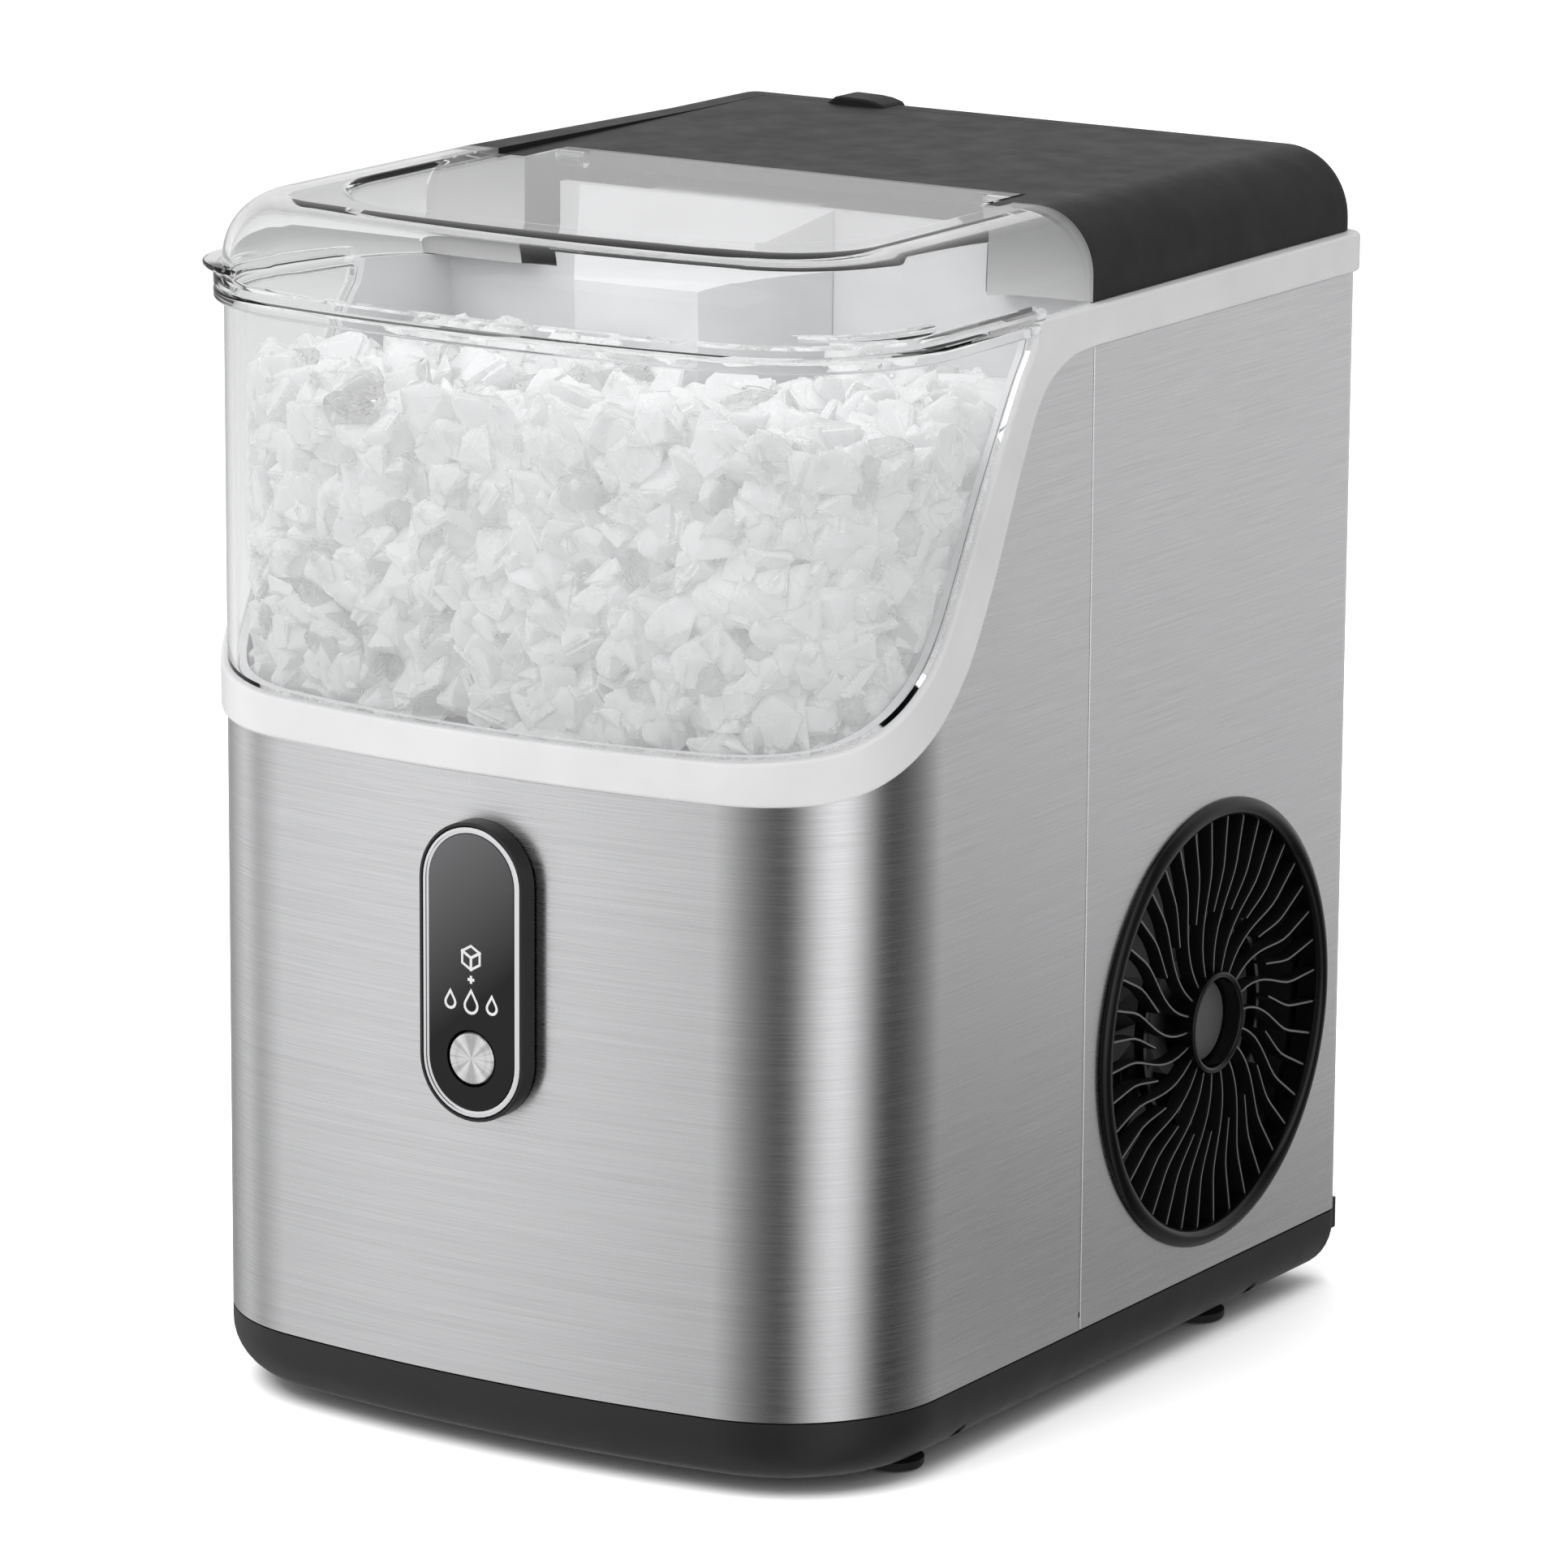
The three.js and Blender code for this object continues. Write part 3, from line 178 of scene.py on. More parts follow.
def subtract(target, *tools):
    for tool in tools:
        boolean(target, tool)
    return target


def unite(target, *others):
    for other in others:
        boolean(target, other, "UNION")
    return target


def merge(name, objects):
    """Several closed shells as one object, without a boolean."""
    b = bmesh.new()
    for obj in objects:
        b.from_mesh(obj.data)
        bpy.data.objects.remove(obj)
    mesh = bpy.data.meshes.new(name)
    b.to_mesh(mesh)
    b.free()
    joined = bpy.data.objects.new(name, mesh)
    bpy.context.scene.collection.objects.link(joined)
    return joined


def soften(obj, width, segments=2, angle=40):
    """Rounds the sharp edges."""
    bevel = obj.modifiers.new("soft edges", "BEVEL")
    bevel.width = width * MM
    bevel.segments = segments
    bevel.limit_method = "ANGLE"
    bevel.angle_limit = math.radians(angle)
    bevel.use_clamp_overlap = True
    apply_modifiers(obj)
    return obj


def smooth(obj, angle=32):
    """Smooth shading, with an edge kept sharp where its faces turn by more than the angle."""
    b = bmesh.new()
    b.from_mesh(obj.data)
    for face in b.faces:
        face.smooth = True
    for e in b.edges:
        e.smooth = len(e.link_faces) == 2 and e.calc_face_angle(0) < math.radians(angle)
    b.to_mesh(obj.data)
    b.free()
    return obj


def loft(name, sections, closed=False):
    """A closed solid through equal loops of points."""
    s = np.asarray(sections, float)
    n, m = s.shape[:2]
    faces = []
    for i in range(n if closed else n - 1):
        k = (i + 1) % n
        faces += [(i * m + j, i * m + (j + 1) % m, k * m + (j + 1) % m, k * m + j) for j in range(m)]
    if not closed:
        faces += [range(m)[::-1], range((n - 1) * m, n * m)]
    return make_object(name, s.reshape(-1, 3), faces)


def box(low, high):
    x, y, z = zip(low, high)
    loops = [[(x[0], y[0], h), (x[1], y[0], h), (x[1], y[1], h), (x[0], y[1], h)] for h in z]
    return loft("box", loops)


AXES = {
    "x": Matrix(((0, 0, 1), (1, 0, 0), (0, 1, 0))),
    "y": Matrix(((0, 1, 0), (0, 0, 1), (1, 0, 0))),
    "z": Matrix.Identity(3),
}


def turned(name, profile, axis="z", centre=(0, 0, 0), segments=96):
    """A turned solid from (radius, height) pairs that start and end on the axis, or close on themselves."""
    angles = np.linspace(0, 2 * math.pi, segments, endpoint=False)
    p = np.array(profile, float)
    on_axis = p[0][0] < 1e-6
    loops = [np.column_stack([p[:, 0] * math.cos(a), p[:, 0] * math.sin(a), p[:, 1]]) for a in angles]
    turn = np.array(AXES[axis])
    points = np.array(loops) @ turn.T + np.array(centre)
    m = len(p)
    faces = []
    for i in range(segments):
        k = (i + 1) % segments
        for j in range(m - 1 if on_axis else m):
            faces.append((i * m + j, i * m + (j + 1) % m, k * m + (j + 1) % m, k * m + j))
    return make_object(name, points.reshape(-1, 3), faces)


def rod(radius, low, high, axis="z", centre=(0, 0, 0), segments=64):
    return turned("rod", [(0, low), (radius, low), (radius, high), (0, high)], axis, centre, segments)


def arc(centre, radius, start, end, steps):
    """Points on an arc in a plane, angles in degrees."""
    t = np.radians(np.linspace(start, end, steps + 1))
    return [(centre[0] + radius * math.cos(a), centre[1] + radius * math.sin(a)) for a in t]


# ---- outlines ----
def front_path(offset=0, half_width=HALF_WIDTH, corner=CORNER_RADIUS, apex=BOW_APEX_Y, rear=JOINT_Y,
               side_steps=60, corner_steps=28, bow_steps=28):
    """The outline from a side's rear y round the bowed front to the other side, right to left."""
    bow_y = apex + BOW_RADIUS
    corner_x = half_width - corner
    corner_y = bow_y - math.sqrt((BOW_RADIUS - corner) ** 2 - corner_x**2)
    swing = math.degrees(math.asin(corner_x / (BOW_RADIUS - corner)))
    side = [(half_width + offset, y) for y in np.linspace(rear, corner_y, side_steps + 1)]
    turn = arc((corner_x, corner_y), corner + offset, 0, swing - 90, corner_steps)
    bow = arc((0, bow_y), BOW_RADIUS + offset, swing - 90, -90, bow_steps // 2)
    right = np.array(side + turn[1:] + bow[1:])
    return np.vstack([right, (right[:-1] * (-1, 1))[::-1]])


def full_path(offset):
    """The casing's whole outline, from the right rear corner round the front and back."""
    least_radius, rear_steps = 0.5, 6
    radius = max(REAR_RADIUS + offset, least_radius)
    x, y = HALF_WIDTH + offset - radius, REAR_Y + offset - radius
    front = front_path(offset, rear=y, side_steps=110)
    left = arc((-x, y), radius, 180, 90, rear_steps)
    right = arc((x, y), radius, 90, 0, rear_steps)
    return np.vstack([front, left[1:], right[:-1]])


def lift(path, z):
    return np.column_stack([path, np.full(len(path), z) if np.isscalar(z) else z])


def pill(radius, y, steps=24):
    """A pill standing on its end at one y."""
    centre = (PANEL_LOW[2] + PANEL_HIGH[2]) / 2
    half = (PANEL_HIGH[2] - PANEL_LOW[2]) / 2 - (PANEL_HIGH[0] - PANEL_LOW[0]) / 2
    top = arc((0, centre + half), radius, 0, 180, steps)
    bottom = arc((0, centre - half), radius, 180, 360, steps)
    return [(x, y, z) for x, z in top + bottom]


def pill_solid(name, profile):
    """A pill-shaped solid from (radius, y) pairs."""
    return loft(name, [pill(r, y) for r, y in profile])


def profiled(name, profile, rear, **steps):
    """A solid swept round the front. The profile is a closed loop of (offset, height) pairs, and a
    height may be a function of y."""
    loops = []
    for offset, height in profile:
        path = front_path(offset, rear=rear, **steps)
        loops.append(lift(path, height(path[:, 1]) if callable(height) else height))
    return loft(name, np.stack(loops, axis=1))


# ---- materials ----
class Look:
    """A Principled material and short ways to give it procedural detail in object space."""

    def __init__(self, name, color, roughness, **sockets):
        self.material = bpy.data.materials.new(name)
        self.material.use_nodes = True
        self.tree = self.material.node_tree
        self.shader = self.tree.nodes["Principled BSDF"]
        self.color = color
        self.roughness = roughness
        self.shader.inputs["Base Color"].default_value = (*color, 1)
        self.shader.inputs["Roughness"].default_value = roughness
        for socket, value in sockets.items():
            self.shader.inputs[socket.replace("_", " ")].default_value = value
        self.height = None

    def node(self, kind, **values):
        made = self.tree.nodes.new(kind)
        for key, value in values.items():
            setattr(made, key, value)
        return made

    def link(self, source, target):
        self.tree.links.new(source, target)

    def noise(self, scale, detail=3.0, rough=0.55):
        """Noise whose scale may differ along x, y and z, in features per metre."""
        place = self.node("ShaderNodeTexCoord")
        mapping = self.node("ShaderNodeMapping")
        mapping.inputs["Scale"].default_value = scale if np.iterable(scale) else (scale,) * 3
        self.link(place.outputs["Object"], mapping.inputs["Vector"])
        noise = self.node("ShaderNodeTexNoise")
        noise.inputs["Scale"].default_value = 1.0
        noise.inputs["Detail"].default_value = detail
        noise.inputs["Roughness"].default_value = rough
        self.link(mapping.outputs["Vector"], noise.inputs["Vector"])
        return noise.outputs["Fac"]

    def cells(self, scale, feature="F1"):
        place = self.node("ShaderNodeTexCoord")
        cells = self.node("ShaderNodeTexVoronoi", feature=feature)
        cells.inputs["Scale"].default_value = scale
        self.link(place.outputs["Object"], cells.inputs["Vector"])
        return cells.outputs["Distance"]

    def along(self, x=0.0, y=0.0, z=0.0, of="Object"):
        """Object-space distance along a direction; of="Normal" gives 1 where the surface faces it."""
        place = self.node("ShaderNodeTexCoord")
        dot = self.node("ShaderNodeVectorMath", operation="DOT_PRODUCT")
        dot.inputs[1].default_value = (x, y, z)
        self.link(place.outputs[of], dot.inputs[0])
        return dot.outputs["Value"]

    def grooves_round(self, axis):
        """Lays the stretched highlights across grooves that run round an axis."""
        self.shader.inputs["Anisotropic Rotation"].default_value = 0.25
        tangent = self.node("ShaderNodeTangent", direction_type="RADIAL", axis=axis)
        self.link(tangent.outputs["Tangent"], self.shader.inputs["Tangent"])

    def tint(self, mask, color):
        """Lays another colour over the base colour where the mask is 1."""
        socket = self.shader.inputs["Base Color"]
        mix = self.node("ShaderNodeMix", data_type="RGBA")
        if socket.is_linked:
            self.link(socket.links[0].from_socket, mix.inputs[6])
        else:
            mix.inputs[6].default_value = socket.default_value
        if isinstance(color, bpy.types.NodeSocket):
            self.link(color, mix.inputs[7])
        else:
            mix.inputs[7].default_value = (*color, 1)
        self.link(mask, mix.inputs[0])
        self.link(mix.outputs[2], socket)
        return self

    def spread(self, value, low, high, start=0.3, end=0.7):
        """Maps a 0 to 1 pattern onto a range."""
        remap = self.node("ShaderNodeMapRange", clamp=True)
        remap.inputs["From Min"].default_value = start
        remap.inputs["From Max"].default_value = end
        remap.inputs["To Min"].default_value = low
        remap.inputs["To Max"].default_value = high
        self.link(value, remap.inputs["Value"])
        return remap.outputs["Result"]

    def vary_roughness(self, value, amount):
        low, high = self.roughness - amount, self.roughness + amount
        self.link(self.spread(value, low, high), self.shader.inputs["Roughness"])
        return self

    def vary_color(self, value, darker, lighter, start=0.3, end=0.7):
        mix = self.node("ShaderNodeMix", data_type="RGBA")
        mix.inputs[6].default_value = (*[c * darker for c in self.color], 1)
        mix.inputs[7].default_value = (*[min(c * lighter, 1) for c in self.color], 1)
        self.link(self.spread(value, 0, 1, start, end), mix.inputs[0])
        self.link(mix.outputs[2], self.shader.inputs["Base Color"])
        return self

    def bump(self, value, depth, strength=1.0):
        """Adds relief of that depth in millimetres."""
        node = self.node("ShaderNodeBump")
        node.inputs["Strength"].default_value = strength
        node.inputs["Distance"].default_value = depth * MM
        self.link(value, node.inputs["Height"])
        if self.height:
            self.link(self.height, node.inputs["Normal"])
        self.height = node.outputs["Normal"]
        self.link(self.height, self.shader.inputs["Normal"])
        return self

    def let_lamps_through(self, share=0.9):
        """Shadow rays pass, so that what is inside stays lit."""
        path = self.node("ShaderNodeLightPath")
        clear = self.node("ShaderNodeBsdfTransparent")
        clear.inputs["Color"].default_value = (share, share, share, 1)
        mix = self.node("ShaderNodeMixShader")
        output = self.tree.nodes["Material Output"]
        self.link(path.outputs["Is Shadow Ray"], mix.inputs[0])
        self.link(self.shader.outputs[0], mix.inputs[1])
        self.link(clear.outputs[0], mix.inputs[2])
        self.link(mix.outputs[0], output.inputs["Surface"])
        return self


LINES_ALONG_WALLS = (18, 18, 2600)  # long streaks round the casing, fine from line to line
FINE_LINES = (60, 60, 6500)


def brushed_steel():
    look = Look("brushed steel", (0.78, 0.78, 0.785), 0.29, Metallic=1.0, Anisotropic=0.8)
    look.grooves_round("Z")
    streaks = look.noise(LINES_ALONG_WALLS, detail=6, rough=0.7)
    look.vary_color(streaks, 0.88, 1.07)
    look.vary_roughness(look.noise(FINE_LINES, detail=4), 0.1)
    look.bump(look.noise((10, 10, 1300), detail=8, rough=0.75), 0.02, 0.35)
    return look.material


def spun_steel(name, centre, axis):
    """Steel turned on a lathe: fine rings round a centre, in metres."""
    look = Look(name, (0.8, 0.8, 0.8), 0.3, Metallic=1.0, Anisotropic=0.9)
    look.grooves_round(axis)
    place = look.node("ShaderNodeTexCoord")
    offset = look.node("ShaderNodeVectorMath", operation="DISTANCE")
    offset.inputs[1].default_value = centre
    look.link(place.outputs["Object"], offset.inputs[0])
    rings = look.node("ShaderNodeTexNoise", noise_dimensions="1D")
    rings.inputs["Scale"].default_value = 4200
    rings.inputs["Detail"].default_value = 3
    look.link(offset.outputs["Value"], rings.inputs["W"])
    look.vary_roughness(rings.outputs["Fac"], 0.05)
    # Painted reflection: bright and dim sectors laid into the colour round the centre, as turned grooves
    # would throw the light back.
    arm = look.node("ShaderNodeVectorMath", operation="SUBTRACT")
    arm.inputs[1].default_value = centre
    look.link(place.outputs["Object"], arm.inputs[0])
    split = look.node("ShaderNodeSeparateXYZ")
    look.link(arm.outputs["Vector"], split.inputs[0])
    angle = look.node("ShaderNodeMath", operation="ARCTAN2")
    look.link(split.outputs["Z"], angle.inputs[0])
    look.link(split.outputs["X"], angle.inputs[1])
    painted_sectors = look.node("ShaderNodeTexNoise", noise_dimensions="1D")
    painted_sectors.inputs["Scale"].default_value = 1.6
    painted_sectors.inputs["Detail"].default_value = 2
    twice = look.node("ShaderNodeMath", operation="PINGPONG")
    twice.inputs[1].default_value = math.pi / 2
    look.link(angle.outputs[0], twice.inputs[0])
    look.link(twice.outputs[0], painted_sectors.inputs["W"])
    return look.vary_color(painted_sectors.outputs["Fac"], 0.5, 1.22, 0.38, 0.62).material


def zinc_sheet():
    look = Look("zinc sheet", (0.56, 0.57, 0.58), 0.45, Metallic=1.0)
    look.vary_color(look.cells(90), 0.86, 1.08, 0.0, 0.9)
    look.vary_roughness(look.noise(160), 0.1)
    return look.bump(look.noise(2400), 0.02, 0.2).material


def moulded(name, color, roughness, grain=1500, depth=0.03, **sockets):
    """Moulded plastic with a fine spark-eroded grain and faint cloudiness."""
    look = Look(name, color, roughness, **sockets)
    look.vary_color(look.noise(22, detail=4), 0.93, 1.05)
    look.vary_roughness(look.noise(90), 0.04)
    return look.bump(look.noise(grain, detail=2), depth, 0.35)


def cover_plastic():
    """Charcoal, with painted light on the front faces of both ears that face the lid: the pale haze seen
    through the clear lid, paler low down.
    """
    look = moulded("cover plastic", CHARCOAL, 0.48, Specular_IOR_Level=0.2)
    # Painted light: a pale haze on the ear fronts, paler towards the lid's bottom.
    painted_haze = look.spread(look.along(z=1), 0.6, 0.2, LID_BOTTOM * MM, LID_TOP * MM)
    front = look.spread(look.along(y=1), 1, 0, (COVER_FRONT_Y + 0.2) * MM, (COVER_FRONT_Y + 0.4) * MM)
    return look.tint(front, painted_haze).material


def panel_gloss():
    """Gloss black, with a painted reflection that makes it paler towards its upper left."""
    look = moulded("gloss black", (0.003, 0.003, 0.0035), 0.1, 900, 0.004, Specular_IOR_Level=0.33)
    low, high = (button_z + 14) * MM, (PANEL_HIGH[2] + 6) * MM
    # Painted reflection: the face gets paler towards its upper left.
    painted_reflection = look.spread(look.along(x=-0.8, z=1), 0, 1, low, high)
    return look.tint(painted_reflection, (0.15, 0.15, 0.155)).material


def rib_plastic():
    """Black, with a painted highlight: each rib's narrow front edge, facing +x, is made paler."""
    look = moulded("rib plastic", (0.005, 0.005, 0.005), 0.45)
    # Painted highlight on the faces that turn towards +x.
    edge = look.spread(look.along(x=1, of="Normal"), 0, 1, 0.75, 0.95)
    return look.tint(edge, (0.16, 0.16, 0.165)).material


def clear_plastic(name, bending, shine):
    tint = (0.975, 0.978, 0.98)
    look = Look(name, tint, 0.015, Transmission_Weight=1.0, IOR=bending, Coat_Weight=shine)
    look.vary_roughness(look.noise(45), 0.012)
    look.bump(look.noise(9, detail=0), 0.03, 0.2)
    return look.let_lamps_through(0.93).material


def chrome():
    look = Look("chrome ring", (0.86, 0.86, 0.87), 0.1, Metallic=1.0)
    look.vary_roughness(look.noise(700), 0.04)
    return look.bump(look.noise(3000), 0.004, 0.15).material


def rubber():
    look = Look("rubber", (0.012, 0.012, 0.012), 0.72)
    look.vary_color(look.noise(120), 0.7, 1.6)
    return look.bump(look.noise(2600), 0.04, 0.4).material


def enamelled_iron():
    look = Look("enamelled iron", (0.012, 0.012, 0.013), 0.35, Coat_Weight=0.4)
    look.vary_roughness(look.noise(300), 0.08)
    return look.bump(look.noise(350, detail=2), 0.12, 0.5).material


def copper_pipe():
    look = Look("copper pipe", (0.72, 0.32, 0.17), 0.27, Metallic=1.0)
    look.vary_color(look.noise(60, detail=5), 0.6, 1.1)
    return look.vary_roughness(look.noise(220), 0.1).material


def mill_aluminium():
    look = Look("mill aluminium", (0.72, 0.73, 0.74), 0.36, Metallic=1.0)
    look.vary_roughness(look.noise((2200, 60, 60)), 0.08)
    return look.bump(look.noise((1800, 40, 40)), 0.02, 0.25).material


def circuit_board():
    look = Look("circuit board", (0.012, 0.11, 0.045), 0.3, Coat_Weight=0.5)
    look.vary_color(look.cells(420, "DISTANCE_TO_EDGE"), 1.9, 0.75, 0.02, 0.12)
    return look.bump(look.noise(900), 0.03, 0.4).material


def nugget_ice(name, color, transmission, roughness, painted_glow):
    """Crushed ice: cloudy, with light scattered within it, a painted glow from emission on top of that,
    painted shade towards the heap's floor, and a melted, rippled skin.
    """
    # Painted glow: emission stands in for light that the ice scatters.
    look = Look(
        name, color, roughness, IOR=1.31, Transmission_Weight=transmission, Subsurface_Weight=0.4,
        Subsurface_Radius=(1, 1, 1), Subsurface_Scale=4 * MM, Emission_Color=(1, 1, 1, 1),
        Emission_Strength=painted_glow,
    )
    # Painted shade: the heap gets darker towards its floor.
    low, high = ICE_LOW[2] * MM, (ICE_LOW[2] + 45) * MM
    look.tint(look.spread(look.along(z=1), 1, 0, low, high), [c * 0.82 for c in color])
    look.vary_roughness(look.noise(160, detail=4), roughness * 0.6)
    look.bump(look.noise(90, detail=2), 1.6, 0.6)
    look.bump(look.noise(330, detail=2), 0.3, 0.35)
    return look.let_lamps_through(0.75).material


CHARCOAL = (0.0165, 0.0165, 0.017)
MATERIALS = {
    "steel": brushed_steel(),
    "galvanised": zinc_sheet(),
    "black_plastic": moulded("charcoal plastic", CHARCOAL, 0.42).material,
    "gloss_black": moulded("black nylon", (0.006, 0.006, 0.007), 0.3, 900, 0.01).material,
    "white_plastic": moulded("white plastic", (0.86, 0.86, 0.87), 0.38, 1800, 0.015).material,
    "clear_plastic": clear_plastic("clear pane", 1.3, 0),
    "chrome": chrome(),
    "rubber": rubber(),
    "grey_plastic": moulded("grey plastic", (0.11, 0.11, 0.112), 0.5).material,
    "cast_metal": enamelled_iron(),
    "copper": copper_pipe(),
    "aluminium": mill_aluminium(),
    "circuit": circuit_board(),
    "ice": nugget_ice("cloudy ice", (0.8, 0.802, 0.805), 0.15, 0.22, 0.13),
}


def piece(obj, name, slot, replaces=(), body="cabinet", material=None, edge=32):
    """Names a new piece, finishes it and hangs it on its CAD body."""
    obj.name = name
    obj.data.name = name
    obj.data.materials.clear()
    obj.data.materials.append(material or MATERIALS[slot])
    smooth(obj, edge)
    if slot != "ice":
        # Flat faces stay flat up to their rounded edges.
        obj.modifiers.new("normals", "WEIGHTED_NORMAL").keep_sharp = True
    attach(obj, body)
    if replaces:
        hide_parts(*replaces)
    return obj


# ---- steel casing ----
SEAM_HALF = 0.2
REAR_OPENING = node_box("rear_panel")[1][0] + GAP
SHEET_EDGE = 0.2  # rounding of a cut sheet edge
fan_centre = (GRILLE_LOW + GRILLE_HIGH) / 2


def make_front_wrap():
    def top(y):
        return np.minimum(casing_z(y) - GAP / 2, CASING_TOP)

    profile = [(-STEEL, CASING_BOTTOM), (0, CASING_BOTTOM), (0, top), (-STEEL, top)]
    wrap = profiled("front wrap", profile, SEAM_Y - SEAM_HALF, side_steps=110, corner_steps=44)
    panel_hole = pill_solid("hole", [(14.6, -160), (14.6, -110)])
    peg_hole = rod(0.9, 100, 120, "x", (0, SEAM_Y, 27), 16)
    subtract(wrap, panel_hole, peg_hole)
    piece(soften(wrap, SHEET_EDGE, 1), "front_wrap_skin", "steel", ["front_wrap"])


def side_loop(offset, side, z):
    radius = REAR_RADIUS + offset
    x, y = HALF_WIDTH - REAR_RADIUS, REAR_Y - REAR_RADIUS
    corner = arc((x, y), radius, 0, 90, 12)
    points = [(HALF_WIDTH + offset, SEAM_Y + SEAM_HALF), *corner, (REAR_OPENING, REAR_Y + offset)]
    return [(side * px, py, z) for px, py in points]


def make_side_panels():
    for name, side in (("left", -1), ("right", 1)):
        loops = [
            side_loop(-STEEL, side, CASING_BOTTOM),
            side_loop(0, side, CASING_BOTTOM),
            side_loop(0, side, CASING_TOP),
            side_loop(-STEEL, side, CASING_TOP),
        ]
        panel = loft("panel", np.stack(loops, axis=1))
        if side > 0:
            subtract(panel, rod(62, 90, 130, "x", fan_centre * (0, 1, 1), 128))
        piece(soften(panel, SHEET_EDGE, 1), f"side_skin_{name}", "steel", [f"side_panel_{name}"])


def make_rear_screws():
    profile = [(0, -10), (1.5, -10), (1.5, 0), (3.2, 0), (3.2, 0.5), (2.6, 1.2), (1.4, 1.6), (0, 1.65)]
    for i in range(6):
        x, _, z = sum(node_box(f"rear_screw_{i + 1}")) / 2
        screw = turned("screw", profile, "y", (x, REAR_Y + GAP, z), 48)
        for a, b in ((1.7, 0.35), (0.35, 1.7)):
            subtract(screw, box((x - a, REAR_Y + 0.9, z - b), (x + a, REAR_Y + 4, z + b)))
        piece(screw, f"rear_screw_{i + 1}_head", "galvanised", [f"rear_screw_{i + 1}"])


# ---- trim, window and liner ----
def make_trim():
    radius = 1.1
    outer = full_path(TRIM_PROUD)
    middle = full_path(TRIM_PROUD - radius)
    inner = full_path(-TRIM_DEPTH)
    low = casing_z(outer[:, 1])
    high = window_z(outer[:, 1])
    step = np.hypot(*np.gradient(outer, axis=0).T)
    steep_low = np.hypot(1, np.gradient(low) / step)
    steep_high = np.hypot(1, np.gradient(high) / step)
    loops = [lift(inner, low), lift(middle, low)]
    for turn in np.radians((-60, -30, 0)):
        flat = middle + (outer - middle) * math.cos(turn)
        loops.append(lift(flat, low + radius * steep_low * (1 + math.sin(turn))))
    for turn in np.radians((0, 30, 60)):
        flat = middle + (outer - middle) * math.cos(turn)
        loops.append(lift(flat, high - radius * steep_high * (1 - math.sin(turn))))
    loops += [lift(middle, high), lift(inner, high)]
    trim = loft("trim", np.stack(loops, axis=1), closed=True)
    piece(trim, "trim_band_moulding", "white_plastic", ["trim_band"], edge=50)


def make_window():
    lip = 0.8
    rim = [(c[0], c[1]) for c in arc((RIM_PROUD - lip, 310 + lip), lip, -90, 0, 3)]
    rim += [(c[0], c[1]) for c in arc((RIM_PROUD - lip, RIM_TOP - lip), lip, 0, 90, 3)]
    fillet = arc((lip, 310 - lip), lip, 180, 90, 3)

    def bottom(y):
        return np.minimum(window_z(y) + GAP, 308)

    profile = [(-WINDOW_WALL, bottom), (0, bottom), *fillet, *rim, (-WINDOW_WALL, RIM_TOP)]
    window = profiled("window", profile, RIM_REAR_Y, side_steps=60, corner_steps=56, bow_steps=40)
    piece(window, "ice_window_pane", "clear_plastic", ["ice_window"], edge=40)


def make_liner():
    floor = node_box("inner_liner")[0][2]
    back = node_box("inner_liner")[1][1]
    inner = LINER_OFFSET - LINER_WALL

    def top(y):
        return np.minimum(window_z(y + GAP) - GAP, TRIM_TOP - GAP)

    profile = [(inner, floor), (LINER_OFFSET, floor), (LINER_OFFSET, top), (inner, top)]
    walls = profiled("liner", profile, back, side_steps=150)
    outline = front_path(LINER_OFFSET - 0.5, rear=back - 0.2)
    bottom = loft("floor", [lift(outline, floor), lift(outline, floor + LINER_WALL)])
    wide = HALF_WIDTH + LINER_OFFSET
    rear = box((-wide, 0, floor), (wide, back, TRIM_TOP - GAP))
    raised = box((-70, 0, TRIM_TOP - 10), (70, back, node_box("ice_chute")[1][2]))
    outlet = box((-50, -1, 265), (10, back + 1, 322))
    liner = subtract(unite(walls, bottom, rear, raised), outlet)
    piece(soften(liner, 0.5, 2), "inner_liner_moulding", "white_plastic", ["inner_liner"])


# ---- lid ----
def lid_ring(inset, z):
    return lift(front_path(-inset, LID_HALF_WIDTH, LID_CORNER), z)


def recess_ring(offset, z):
    return lift(front_path(offset, RECESS_HALF_WIDTH, RECESS_CORNER, RECESS_FRONT_Y), z)


def blend_rings(a, b, share):
    """A ring between two rings, by a share that varies along them."""
    return a + (b - a) * share[:, None]


def tab_share(path):
    """1 at the middle of each front corner's finger tab, 0 away from it."""
    centre_x = HALF_WIDTH - CORNER_RADIUS
    angle = np.degrees(np.arctan2(-88 - path[:, 1], np.abs(path[:, 0]) - centre_x))
    return np.sin(math.pi * np.clip((angle - 6) / 50, 0, 1)) ** 0.7


